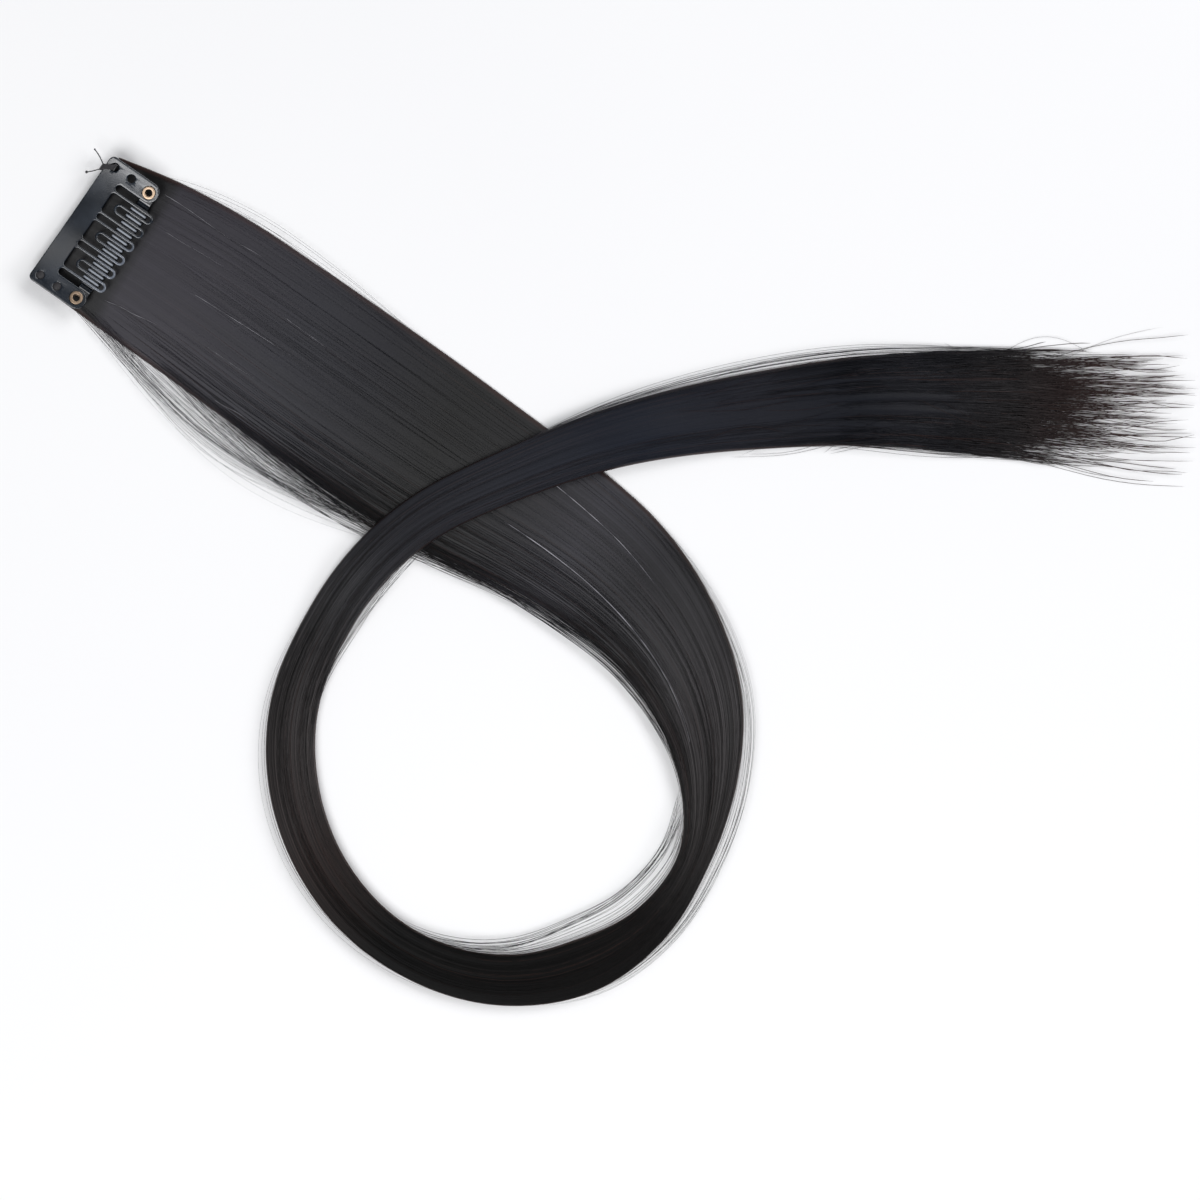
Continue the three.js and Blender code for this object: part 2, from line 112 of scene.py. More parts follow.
def startMaterial(name, **finish):
    material = bpy.data.materials.new(name)
    material.use_nodes = True
    shader = material.node_tree.nodes["Principled BSDF"]
    for socket, value in finish.items():
        shader.inputs[socket.replace("_", " ")].default_value = value
    return material, material.node_tree, shader


# One node: inputs holds what goes into its sockets, and settings are its own properties
def addNode(tree, kind, inputs=None, **settings):
    node = tree.nodes.new("ShaderNode" + kind)
    for key, value in settings.items():
        setattr(node, key, value)
    for key, value in (inputs or {}).items():
        if isinstance(value, bpy.types.NodeSocket):
            tree.links.new(value, node.inputs[key])
        else:
            node.inputs[key].default_value = value
    return node


def paintRamp(node, stops):
    ramp = node.color_ramp
    while len(ramp.elements) < len(stops):
        ramp.elements.new(0.5)
    for element, (place, colour) in zip(ramp.elements, stops):
        element.position = place
        element.color = linear(colour) if isinstance(colour, str) else colour


def joinShader(tree, shader, colour=None, roughness=None, normal=None):
    for socket, value in (("Base Color", colour), ("Roughness", roughness), ("Normal", normal)):
        if value is not None:
            tree.links.new(value, shader.inputs[socket])


# Stoved lacquer over spring steel: a smooth blue-black skin with a faint orange peel and deep reflections.
# The loops of the teeth get a painted grey highlight, which fades out towards the clip's +x end as painted
# shade.
def lacqueredSteel():
    material, tree, shader = startMaterial("lacquered_spring_steel", Metallic=0.0, Roughness=0.2, IOR=1.5,
                                           Coat_Weight=0.7, Coat_Roughness=0.12)
    place = addNode(tree, "TexCoord")
    peel = addNode(tree, "TexNoise", {"Vector": place.outputs["Object"], "Scale": 900, "Detail": 2})
    cloud = addNode(tree, "TexNoise", {"Vector": place.outputs["Object"], "Scale": 160, "Detail": 4})
    ramp = addNode(tree, "ValToRGB", {"Fac": cloud.outputs["Fac"]})
    paintRamp(ramp, [(0.35, "#0b1119"), (0.7, "#18212c")])
    # Painted highlight: grey on the loops of the teeth, from a per-vertex share set when the plate is made
    paintedShine = addNode(tree, "Attribute", attribute_name="paintedShine")
    withPaintedShine = addNode(tree, "Mix", {0: paintedShine.outputs["Fac"], 6: ramp.outputs["Color"], 7: linear("#646a75")},
            data_type="RGBA")
    worn = addNode(tree, "MapRange", {"Value": cloud.outputs["Fac"], "From Min": 0.3, "From Max": 0.75,
             "To Min": 0.16, "To Max": 0.3})
    bump = addNode(tree, "Bump", {"Height": peel.outputs["Fac"], "Strength": 0.12, "Distance": 0.00005})
    joinShader(tree, shader, withPaintedShine.outputs[2], worn.outputs["Result"], bump.outputs["Normal"])
    return material


# Moulded nitrile rubber, ribbed: charcoal and half matt, with a painted highlight in pale grey along the top
# of each rib and painted shade, near black, down in the grooves. UV.y counts the ribs.
def gripRubber():
    material, tree, shader = startMaterial("moulded_nitrile_rubber", Roughness=0.36, IOR=1.52)
    place = addNode(tree, "TexCoord")
    grain = addNode(tree, "TexNoise", {"Vector": place.outputs["Object"], "Scale": 2500, "Detail": 4})
    parts = addNode(tree, "SeparateXYZ", {"Vector": place.outputs["UV"]})
    across = addNode(tree, "Math", {0: parts.outputs["Y"]}, operation="FRACT")
    uneven = addNode(tree, "Math", {0: grain.outputs["Fac"], 1: 0.12, 2: across.outputs["Value"]},
            operation="MULTIPLY_ADD")
    shifted = addNode(tree, "Math", {0: uneven.outputs["Value"], 1: 0.06}, operation="SUBTRACT")
    ramp = addNode(tree, "ValToRGB", {"Fac": shifted.outputs["Value"]})
    # Painted shade in the grooves, painted highlight along the crests
    paintRamp(ramp, [(0, "#0c0e12"), (0.17, "#1f2329"), (0.34, "#8d939c"), (0.5, "#a3a9b2"),
                     (0.66, "#8d939c"),
                     (0.83, "#1f2329"), (1, "#0c0e12")])
    bump = addNode(tree, "Bump", {"Height": grain.outputs["Fac"], "Strength": 0.25, "Distance": 0.00003})
    joinShader(tree, shader, ramp.outputs["Color"], None, bump.outputs["Normal"])
    return material


# Drawn brass, pale and a little tarnished in its bore: a bright warm ring round a brown hole
def paleBrass():
    material, tree, shader = startMaterial("drawn_pale_brass", Metallic=1.0, Roughness=0.24)
    place = addNode(tree, "TexCoord")
    cloud = addNode(tree, "TexNoise", {"Vector": place.outputs["Object"], "Scale": 700, "Detail": 4})
    ramp = addNode(tree, "ValToRGB", {"Fac": cloud.outputs["Fac"]})
    paintRamp(ramp, [(0.3, "#99846f"), (0.7, "#b8a28c")])
    rough = addNode(tree, "MapRange", {"Value": cloud.outputs["Fac"], "To Min": 0.3, "To Max": 0.46})
    bump = addNode(tree, "Bump", {"Height": cloud.outputs["Fac"], "Strength": 0.1, "Distance": 0.00004})
    joinShader(tree, shader, ramp.outputs["Color"], rough.outputs["Result"], bump.outputs["Normal"])
    return material


# Bonded polyester sewing thread, nearly black, with the fine fuzz of its plies
def sewingThread():
    material, tree, shader = startMaterial("bonded_polyester_thread", Roughness=0.6, Sheen_Weight=0.3)
    place = addNode(tree, "TexCoord")
    fuzz = addNode(tree, "TexNoise", {"Vector": place.outputs["Object"], "Scale": 3500, "Detail": 3})
    ramp = addNode(tree, "ValToRGB", {"Fac": fuzz.outputs["Fac"]})
    paintRamp(ramp, [(0.35, "#0e0d10"), (0.7, "#2a272c")])
    bump = addNode(tree, "Bump", {"Height": fuzz.outputs["Fac"], "Strength": 0.5, "Distance": 0.00006})
    joinShader(tree, shader, ramp.outputs["Color"], None, bump.outputs["Normal"])
    return material


# Straight heat-proof synthetic hair: blue-black and satin, brown at its ends, and brown at its edges, where
# the brown is also painted light lifting edges that the lamps leave dark. Its colour carries painted shade
# along the length: a painted shadow beside the clip, lighter where it lies flat, darker where it is drawn
# round the loop. The strands are 0.08 mm thick, and the streaks are drawn coarser than life, about 0.3 and 1
# mm wide.
hairLook = {
    # Painted shade along the length: a painted shadow under and beside the clip, then lighter and darker
    # stretches where the light falls so, near black round the bottom of the loop
    "tones": [(0.0265, "#09090b"), (0.0315, "#2c2a31"), (0.055, "#2c2a31"), (0.1, "#1f1f26"),
              (0.128, "#101018"),
              (0.163, "#040405"), (0.19, "#08080a"), (0.23, "#26252b"), (0.258, "#131217"), (0.31, "#2c2a2b"),
              (0.355, "#282626"), (0.4, "#090707"), (0.455, "#030202"), (0.51, "#020202"), (0.552, "#190f0d"),
              (0.598, "#262323"), (0.64, "#222122"), (0.73, "#24252b"), (0.79, "#1c1f28"), (0.833, "#1e1f26"),
              (0.873, "#12141b"), (0.91, "#1a1a1f"), (0.94, "#2f2c2d")],
    "roughness": [(0.1, 0.36), (0.17, 0.41), (0.24, 0.37), (0.3, 0.36), (0.4, 0.72), (0.51, 0.84),
                  (0.57, 0.42),
                  (1, 0.42)],
    "contrast": [(0.03, 1.5), (0.2, 0.9), (0.25, 5.0), (0.3, 13.0), (0.36, 13.0), (0.42, 7.0), (0.52, 8.0),
                 # times the contrast of the streaks
                 (0.56, 17.0), (0.65, 13.0), (0.71, 3.0), (0.8, 0.5), (0.92, 1.0)],
    "brown": "#46302b",
    "brownFrom": 0.935,
    "brownFull": 0.985,
    "brownEdgeAndPaintedLight": 0.035,  # share of the width; the brown here is also painted light on edges the lamps leave dark
}


def hairFibre(name, streaksAcross, streaksAlong, contrast, bumpStrength, combed):
    look = hairLook
    material, tree, shader = startMaterial(name, IOR=1.5, Specular_IOR_Level=0.22, Anisotropic=combed)
    spot = addNode(tree, "TexCoord")
    fine = addNode(tree, "Mapping", {"Vector": spot.outputs["UV"],
             "Scale": (streaksAcross, streaksAlong, 1)})
    broad = addNode(tree, "Mapping", {"Vector": spot.outputs["UV"],
             "Scale": (streaksAcross / 3.4, streaksAlong / 2, 1)})
    streak = addNode(tree, "TexNoise", {"Vector": fine.outputs["Vector"], "Scale": 1, "Detail": 3,
             "Roughness": 0.65})
    clump = addNode(tree, "TexNoise", {"Vector": broad.outputs["Vector"], "Scale": 1, "Detail": 2})
    both = addNode(tree, "Math", {0: clump.outputs["Fac"], 1: 1.0, 2: streak.outputs["Fac"]},
            operation="MULTIPLY_ADD")
    swing = addNode(tree, "MapRange", {"Value": both.outputs["Value"], "From Min": 0.7, "From Max": 1.3,
             "To Min": -contrast, "To Max": contrast})
    parts = addNode(tree, "SeparateXYZ", {"Vector": spot.outputs["UV"]})
    amount = addNode(tree, "ValToRGB", {"Fac": parts.outputs["Y"]})
    paintRamp(amount, [(place, (value, value, value, 1)) for place, value in look["contrast"]])
    gain = addNode(tree, "Math", {0: swing.outputs["Result"], 1: amount.outputs["Color"], 2: 1.0},
            operation="MULTIPLY_ADD")
    gain = addNode(tree, "Math", {0: gain.outputs["Value"], 1: 0.15}, operation="MAXIMUM")
    # Painted shade along the hair's length
    tones = addNode(tree, "ValToRGB", {"Fac": parts.outputs["Y"]})
    paintRamp(tones, look["tones"])
    varied = addNode(tree, "VectorMath", {0: tones.outputs["Color"], "Scale": gain.outputs["Value"]},
            operation="SCALE")
    ends = addNode(tree, "MapRange", {"Value": parts.outputs["Y"], "From Min": look["brownFrom"],
             "From Max": look["brownFull"], "To Min": 0.0, "To Max": 0.9})
    fromMiddle = addNode(tree, "Math", {0: parts.outputs["X"], 1: 0.5}, operation="SUBTRACT")
    outward = addNode(tree, "Math", {0: fromMiddle.outputs["Value"]}, operation="ABSOLUTE")
    # Brown edges, which are also painted light lifting the dark rounded edges
    edge = addNode(tree, "MapRange", {"Value": outward.outputs["Value"],
             "From Min": 0.5 - look["brownEdgeAndPaintedLight"], "From Max": 0.5, "To Min": 0.0, "To Max": 0.7})
    warm = addNode(tree, "Math", {0: ends.outputs["Result"], 1: edge.outputs["Result"]},
            operation="MAXIMUM")
    brown = addNode(tree, "Mix", {0: warm.outputs["Value"], 6: varied.outputs["Vector"],
             7: linear(look["brown"])}, data_type="RGBA")
    rough = addNode(tree, "ValToRGB", {"Fac": parts.outputs["Y"]})
    paintRamp(rough, [(place, (value, value, value, 1)) for place, value in look["roughness"]])
    bump = addNode(tree, "Bump", {"Height": both.outputs["Value"], "Strength": bumpStrength,
             "Distance": 0.0003})
    joinShader(tree, shader, brown.outputs[2], rough.outputs["Color"], bump.outputs["Normal"])
    if combed:
        across = addNode(tree, "Tangent", direction_type="UV_MAP", uv_map="lie")
        tree.links.new(across.outputs["Tangent"], shader.inputs["Tangent"])
    return material


# The same hair where one strand stands clear and turns to the light: a thin pale line
def shiningStrand():
    material, tree, shader = startMaterial("shining_synthetic_hair", Roughness=0.4, Specular_IOR_Level=0.4)
    place = addNode(tree, "TexCoord")
    patch = addNode(tree, "TexNoise", {"Vector": place.outputs["Object"], "Scale": 260, "Detail": 2})
    ramp = addNode(tree, "ValToRGB", {"Fac": patch.outputs["Fac"]})
    paintRamp(ramp, [(0.35, "#4a494f"), (0.65, "#a09ea5")])
    joinShader(tree, shader, ramp.outputs["Color"])
    return material


# Hair folded over and sewn down as a track: dark and matt, with its fibres running round the band
def sewnTrack():
    material, tree, shader = startMaterial("sewn_hair_track", Roughness=0.65, Specular_IOR_Level=0.15)
    spot = addNode(tree, "TexCoord")
    drawn = addNode(tree, "Mapping", {"Vector": spot.outputs["UV"], "Scale": (5, 140, 1)})
    fibre = addNode(tree, "TexNoise", {"Vector": drawn.outputs["Vector"], "Scale": 1, "Detail": 3})
    ramp = addNode(tree, "ValToRGB", {"Fac": fibre.outputs["Fac"]})
    paintRamp(ramp, [(0.35, "#050506"), (0.7, "#121216")])
    bump = addNode(tree, "Bump", {"Height": fibre.outputs["Fac"], "Strength": 0.5, "Distance": 0.0002})
    joinShader(tree, shader, ramp.outputs["Color"], None, bump.outputs["Normal"])
    return material


# Matt white sheet under the object
def paperWhite():
    material, tree, shader = startMaterial("matt_white_sheet", Roughness=0.9, Specular_IOR_Level=0.1)
    place = addNode(tree, "TexCoord")
    cloud = addNode(tree, "TexNoise", {"Vector": place.outputs["Object"], "Scale": 3, "Detail": 2})
    ramp = addNode(tree, "ValToRGB", {"Fac": cloud.outputs["Fac"]})
    paintRamp(ramp, [(0.3, "#f7f7f8"), (0.7, "#fbfbfb")])
    joinShader(tree, shader, ramp.outputs["Color"])
    return material


finishes = {
    "steel": lacqueredSteel(),
    "rubber": gripRubber(),
    "brass": paleBrass(),
    "thread": sewingThread(),
    "hair": hairFibre("straight_synthetic_hair", 130, 7, 0.17, 0.08, 0.9),
    "strand": hairFibre("loose_synthetic_strands", 40, 5, 0.22, 0.0, 0.0),
    "shine": shiningStrand(),
    "track": sewnTrack(),
    "sheet": paperWhite(),
}
print("materials made")


# Making and placing pieces

def finishPiece(name, mesh, material, nodes=()):
    mesh.materials.clear()
    mesh.materials.append(material)
    mesh.name = name
    piece = bpy.data.objects.new(name, mesh)
    sceneRoot.collection.objects.link(piece)
    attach(piece, "root")
    if nodes:
        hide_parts(*nodes)
    print(name, "has", sum(len(face.vertices) - 2 for face in mesh.polygons), "triangles")
    return piece


# A grid whose vertices are put in place by placeAt, which takes arrays of 0 to 1 and gives millimetres
def rolledGrid(around, along, placeAt, uvAt=None, closeEnds=True):
    bm = bmesh.new()
    bmesh.ops.create_grid(bm, x_segments=around, y_segments=along, size=1)
    mesh = bpy.data.meshes.new("grid")
    bm.to_mesh(mesh)
    bm.free()
    spots = np.empty(len(mesh.vertices) * 3)
    mesh.vertices.foreach_get("co", spots)
    u, v = (spots.reshape(-1, 3)[:, 0] + 1) / 2, (spots.reshape(-1, 3)[:, 1] + 1) / 2
    places = np.stack(placeAt(u, v), axis=1) * mm
    mesh.vertices.foreach_set("co", places.ravel())
    corners = np.empty(len(mesh.loops), int)
    mesh.loops.foreach_get("vertex_index", corners)
    uvs = np.stack((uvAt or (lambda a, b: (a, b)))(u, v), axis=1)[corners]
    mesh.uv_layers.new(name="lie").data.foreach_set("uv", uvs.ravel())
    bm = bmesh.new()
    bm.from_mesh(mesh)
    bmesh.ops.remove_doubles(bm, verts=bm.verts, dist=0.002 * mm)
    if closeEnds:
        bmesh.ops.holes_fill(bm, edges=[edge for edge in bm.edges if edge.is_boundary], sides=0)
    bmesh.ops.recalc_face_normals(bm, faces=bm.faces)
    return bm


def toMesh(bm, place=None):
    if place:
        bmesh.ops.transform(bm, matrix=place, verts=bm.verts)
    for face in bm.faces:
        face.smooth = True
    mesh = bpy.data.meshes.new("piece")
    bm.to_mesh(mesh)
    bm.free()
    return mesh


def arcPoints(x, y, radius, start, end, steps=14):
    turns = np.radians(np.linspace(start, end, steps + 1))
    return [(x + radius * math.cos(t), y + radius * math.sin(t)) for t in turns]


# The clip: its own frame has x along it, y = 0 at its back edge and the teeth towards -y

clip = {
    "length": 32,
    "turn": 55.3,
    "back": (-115.2253, 77.4285),  # where the middle of its back edge lies
    "height": 3.639,
    "archRise": 1.2,
    "seatGap": 0.3,
    "eyeletInset": 13.75,
    "eyeletFromBack": 11.1,
}
halfClip = clip["length"] / 2
archRadius = (halfClip ** 2 + clip["archRise"] ** 2) / (2 * clip["archRise"])
clipPlace = (Matrix.Translation((clip["back"][0] * mm, clip["back"][1] * mm, clip["height"] * mm))
             @ Matrix.Rotation(math.radians(clip["turn"]), 4, "Z"))


def archAt(x):
    return archRadius - np.sqrt(archRadius ** 2 - np.asarray(x) ** 2)


def smooth(share):
    kept = np.clip(share, 0, 1)
    return kept * kept * (3 - 2 * kept)


# A flat plate from closed outlines in millimetres, cut every so often along x and bent up to heightAt
def bentPlate(name, outlines, thick, edge, cuts, heightAt, paintedShineAt=None):
    flat = bpy.data.curves.new(name, "CURVE")
    flat.dimensions, flat.fill_mode = "2D", "BOTH"
    flat.extrude, flat.bevel_depth, flat.bevel_resolution, flat.offset = thick / 2 - edge, edge, 2, -edge
    for outline in outlines:
        spline = flat.splines.new("POLY")
        spline.points.add(len(outline) - 1)
        for point, (x, y) in zip(spline.points, outline):
            point.co = (x, y, 0, 1)
        spline.use_cyclic_u = True
    holder = bpy.data.objects.new(name, flat)
    sceneRoot.collection.objects.link(holder)
    bpy.context.view_layer.update()
    mesh = bpy.data.meshes.new_from_object(holder.evaluated_get(bpy.context.evaluated_depsgraph_get()))
    bpy.data.objects.remove(holder)
    bm = bmesh.new()
    bm.from_mesh(mesh)
    bmesh.ops.remove_doubles(bm, verts=bm.verts, dist=0.002)
    for x in cuts:
        everything = bm.verts[:] + bm.edges[:] + bm.faces[:]
        bmesh.ops.bisect_plane(bm, geom=everything, plane_co=(x, 0, 0), plane_no=(1, 0, 0), dist=0.001)
    # Share of the painted highlight on the teeth's loops, for each vertex
    paintedShine = bm.verts.layers.float.new("paintedShine")
    for vert in bm.verts:
        vert[paintedShine] = paintedShineAt(vert.co.x, vert.co.y) if paintedShineAt else 0
        vert.co.z += thick / 2 + float(heightAt(vert.co.x))
    bmesh.ops.scale(bm, vec=(mm, mm, mm), verts=bm.verts)
    bmesh.ops.recalc_face_normals(bm, faces=bm.faces)
    return toMesh(bm, clipPlace)


def weighNormals(piece):
    flatten = piece.modifiers.new("even_faces", "WEIGHTED_NORMAL")
    flatten.keep_sharp = True
    flatten.weight = 80


comb = {
    "thick": 0.45,
    "edge": 0.2,  # rounding of the stamped edges
    "bandDepth": 4.6,
    "armWidth": 4.5,
    "backCorner": 1.2,
    "windowCorner": 0.7,
    "windowDepth": 2.1,
    "toothPitch": 3.53,
    "toothWidth": 2.3,
    "wireWidth": 0.55,
    "toothReach": 15.25,
    "pairs": 3,
    "sewHole": 1.8,
    "sewInset": 2,
    "sewPitch": 4.3,
    "rivetHole": 2.4,
    "paintedShineFrom": 13.1,  # from the back edge
    "paintedShineFull": 14.2,
    "paintedShineFades": (-1, 6),  # along the clip, where the painted highlight fades out
}


def combOutlines():
    c = comb
    tip, inner = c["toothWidth"] / 2, c["toothWidth"] / 2 - c["wireWidth"]
    tipY = -(c["toothReach"] - tip)
    pitch, between = c["toothPitch"], c["toothPitch"] / 2 - tip
    gapHalf = halfClip - c["armWidth"]
    inset, eyeY = clip["eyeletInset"], -clip["eyeletFromBack"]
    middles = [(i - (c["pairs"] - 1) / 2) * 2 * pitch for i in range(c["pairs"])]
    corner = c["backCorner"]

    def slotTop(left, right):
        round_ = (right - left) / 2
        return arcPoints(left + round_, -(c["bandDepth"] + round_), round_, 180, 0)

    outline = arcPoints(-halfClip + corner, -corner, corner, 90, 180)
    outline += arcPoints(-inset, eyeY, c["armWidth"] / 2, 180, 360, 24)
    slotStart = -gapHalf
    for middle in middles:
        outline += slotTop(slotStart, middle - pitch / 2 - tip)
        outline += arcPoints(middle - pitch / 2, tipY, tip, 180, 360)
        outline += arcPoints(middle, -(c["bandDepth"] + c["windowDepth"] + c["wireWidth"] + between),
                             between, 180, 0)
        outline += arcPoints(middle + pitch / 2, tipY, tip, 180, 360)
        slotStart = middle + pitch / 2 + tip
    outline += slotTop(slotStart, gapHalf)
    outline += arcPoints(inset, eyeY, c["armWidth"] / 2, 180, 360, 24)
    outline += arcPoints(halfClip - corner, -corner, corner, 0, 90)
    outlines = [outline]
    arch = (pitch - c["toothWidth"]) / 2 + c["wireWidth"]
    for middle in middles:
        left, right = middle - pitch / 2, middle + pitch / 2
        cornerY = -(c["bandDepth"] + c["windowCorner"])
        window = arcPoints(left - inner + c["windowCorner"], cornerY, c["windowCorner"], 180, 90, 6)
        window += arcPoints(right + inner - c["windowCorner"], cornerY, c["windowCorner"], 90, 0, 6)
        window += arcPoints(right, tipY, inner, 360, 180)
        window += arcPoints(middle, -(c["bandDepth"] + c["windowDepth"] + arch), arch, 0, 180)
        window += arcPoints(left, tipY, inner, 360, 180)
        outlines.append(window)
    for end in (-1, 1):
        x = end * (halfClip - c["sewInset"])
        for y in (-c["sewInset"], -c["sewInset"] - c["sewPitch"]):
            outlines.append(arcPoints(x, y, c["sewHole"] / 2, 360, 15, 23))
        outlines.append(arcPoints(end * inset, eyeY, c["rivetHole"] / 2, 360, 15, 23))
    return outlines


# Painted highlight on the loops of the teeth past the sleeve, fading out towards the clip's +x end as painted
# shade
def loopsPaintedShine(x, y):
    over = smooth((-y - comb["paintedShineFrom"]) / (comb["paintedShineFull"] - comb["paintedShineFrom"]))
    side = 1 - smooth((x - comb["paintedShineFades"][0]) / (comb["paintedShineFades"][1] - comb["paintedShineFades"][0]))
    return float(over * side) if abs(x) < halfClip - comb["armWidth"] else 0.0


plate = finishPiece("comb_plate_lacquered",
                    bentPlate("comb", combOutlines(), comb["thick"], comb["edge"],
                              np.arange(-15.5, 15.6, 0.5), archAt, loopsPaintedShine),
                    finishes["steel"], ["comb_plate"])
weighNormals(plate)


bar = {
    "width": 2.8,
    "thick": 0.35,
    "edge": 0.08,
    "ahead": 0.4,
    "tabWidth": 4,
    "bare": 1.3,
    "drop": 0.57,
    "holeWidth": 2.4,
}
barLine = -(clip["eyeletFromBack"] + bar["ahead"])


def barUnderside(x):
    armGapHalf = halfClip - comb["armWidth"]
    joggle = bar["drop"] * smooth((armGapHalf - np.abs(x)) / bar["bare"])
    return archAt(x) - clip["seatGap"] - joggle - bar["thick"]


def barOutlines():
    tab, inset, eyeY = bar["tabWidth"] / 2, clip["eyeletInset"], -clip["eyeletFromBack"]
    high = math.degrees(math.asin((bar["width"] / 2 - bar["ahead"]) / tab))
    low = math.degrees(math.asin((bar["width"] / 2 + bar["ahead"]) / tab))
    outline = arcPoints(inset, eyeY, tab, low - 180, 180 - high, 28)
    outline += arcPoints(-inset, eyeY, tab, high, 360 - low, 28)
    holes = [arcPoints(side * inset, eyeY, bar["holeWidth"] / 2, 360, 15, 23) for side in (-1, 1)]
    return [outline, *holes]


strip = finishPiece("front_bar_lacquered",
                    bentPlate("bar", barOutlines(), bar["thick"], bar["edge"],
                              sorted({round(s * x, 2) for s in (-1, 1) for x in
                                      [*np.arange(0, 10.1, 1), *np.arange(10.2, 11.6, 0.1), 12.5, 13.5,
                                       14.5]}),
                              barUnderside),
                    finishes["steel"], ["front_bar"])
weighNormals(strip)


sleeve = {
    "length": 20.4,
    "wall": 0.06,
    "play": 0.25,  # between the bar and the bore
    "rib": 0.26,
    "ribCount": 23,
    "around": 40,
    "perRib": 10,
}


# A tube of rounded section: its outside runs one way along x and its bore the other way
def sleeveAt(u, v):
    s = sleeve
    outside = v < 0.5
    along = np.where(outside, v * 2, 2 - v * 2)
    x = (along - 0.5) * s["length"]
    ribPlace = along * s["ribCount"] % 1
    proud = s["rib"] * np.sqrt(1 - (2 * ribPlace - 1) ** 2)
    endFade = smooth(np.minimum(along, 1 - along) * s["ribCount"] * 2)
    halfWide = bar["width"] / 2 + s["play"] + np.where(outside, s["wall"] + proud * endFade, 0)
    halfHigh = bar["thick"] / 2 + s["play"] + np.where(outside, s["wall"] + proud * endFade, 0)
    turn = u * 2 * np.pi
    power = 0.35  # the section is between a box and an oval
    y = halfWide * np.sign(np.cos(turn)) * np.abs(np.cos(turn)) ** power
    z = halfHigh * np.sign(np.sin(turn)) * np.abs(np.sin(turn)) ** power
    return x, barLine + y, archAt(x) - clip["seatGap"] - bar["drop"] - bar["thick"] / 2 + z


def gripSleeve():
    s = sleeve
    bm = rolledGrid(s["around"], 2 * s["ribCount"] * s["perRib"], sleeveAt,
                    lambda u, v: (u, v * 2 * s["ribCount"]), closeEnds=False)
    return toMesh(bm, clipPlace)


finishPiece("grip_sleeve_ribbed", gripSleeve(), finishes["rubber"], ["grip_sleeve"])


eyelets = {
    "bore": 1.5,
    "wall": 0.2,
    "funnel": 0.12,
    "flangeWidth": 2.87,
    "flangeThick": 0.25,
    "play": 0.25,
    "sides": 56,
}


# Half of the rolled rim: from the bore round the lip's crown to the outside of the barrel
def rimPoints(height, up):
    e = eyelets
    inside, barrel, flange = e["bore"] / 2, e["bore"] / 2 + e["wall"], e["flangeWidth"] / 2
    thick = e["flangeThick"]
    round_ = e["funnel"]
    funnel = [(inside + round_ * (1 - math.cos(a)), height + up * (thick - round_ + round_ * math.sin(a)))
              for a in np.radians(np.linspace(0, 90, 6))]
    lip = thick / 2
    edge = [(flange - lip + lip * math.cos(a), height + up * (lip + lip * math.sin(a)))
            for a in np.radians(np.linspace(90, -90, 9))]
    return funnel + edge + [(barrel, height)]


def eyeletMesh(side):
    e = eyelets
    above = comb["thick"] + e["play"]
    below = -(clip["seatGap"] + bar["thick"] + e["play"])
    profile = rimPoints(above, 1) + rimPoints(below, -1)[::-1]
    bm = bmesh.new()
    verts = [bm.verts.new((r, 0, z)) for r, z in profile]
    edges = [bm.edges.new((verts[i], verts[(i + 1) % len(verts)])) for i in range(len(verts))]
    bmesh.ops.spin(bm, geom=verts + edges, cent=(0, 0, 0), axis=(0, 0, 1), dvec=(0, 0, 0),
                   angle=2 * math.pi, steps=e["sides"], use_merge=True, use_duplicate=False)
    bmesh.ops.remove_doubles(bm, verts=bm.verts, dist=0.002)
    bmesh.ops.recalc_face_normals(bm, faces=bm.faces)
    inset = clip["eyeletInset"]
    place = Matrix.Translation((side * inset, -clip["eyeletFromBack"], float(archAt(inset))))
    turn = Matrix.Rotation(-side * math.asin(inset / archRadius), 4, "Y")
    return toMesh(bm, clipPlace @ Matrix.Scale(mm, 4) @ place @ turn)


for side, word in ((-1, "left"), (1, "right")):
    finishPiece(f"eyelet_{word}_brass", eyeletMesh(side), finishes["brass"], [f"eyelet_{word}"])
print("clip made")


# Sewing thread: turns round the back edge through the first hole, then two loose tails

threads = {
    "turns": 5,
    "width": 0.36,
    "pitch": 0.3,
    "lean": 0.58,
    "corner": 0.42,
    "plies": 3,
    "twist": 1.1,  # turns of the plies in each millimetre
    "tailWidth": 0.24,
    "tails": [{"turn": -1, "along": -2.2, "out": 2.1, "knob": 0.3},
              {"turn": 1, "along": 1.6, "out": 3.4, "knob": 0.2}],
    "tailDrop": 1.4,
}
windingX = halfClip - comb["sewInset"]


# A twisted tube round a line of points
def twistedTube(points, width, sides=9):
    line = np.array(points)
    steps = np.linalg.norm(np.diff(line, axis=0), axis=1)
    gone = np.concatenate([[0], np.cumsum(steps)])
    ahead = np.gradient(line, gone, axis=0)
    ahead /= np.linalg.norm(ahead, axis=1)[:, None]
    beside = np.cross(ahead, (0.31, 0.2, 0.93))
    beside /= np.linalg.norm(beside, axis=1)[:, None]
    above = np.cross(beside, ahead)

    def placeAt(u, v):
        at = v * gone[-1]
        centre, side, up = ([np.interp(at, gone, rows[:, k]) for k in range(3)]
                            for rows in (line, beside, above))
        angle = u * 2 * np.pi
        ply = 1 + 0.2 * np.cos(threads["plies"]
                               * (angle + 2 * np.pi * threads["twist"] * at / threads["plies"]))
        ends = np.sqrt(np.clip(np.minimum(v, 1 - v) * gone[-1] / (width / 2), 0.04, 1))
        reach = width / 2 * ply * ends
        return [centre[k] + reach * (np.cos(angle) * side[k] + np.sin(angle) * up[k]) for k in range(3)]

    return rolledGrid(sides, int(gone[-1] / 0.11), placeAt)


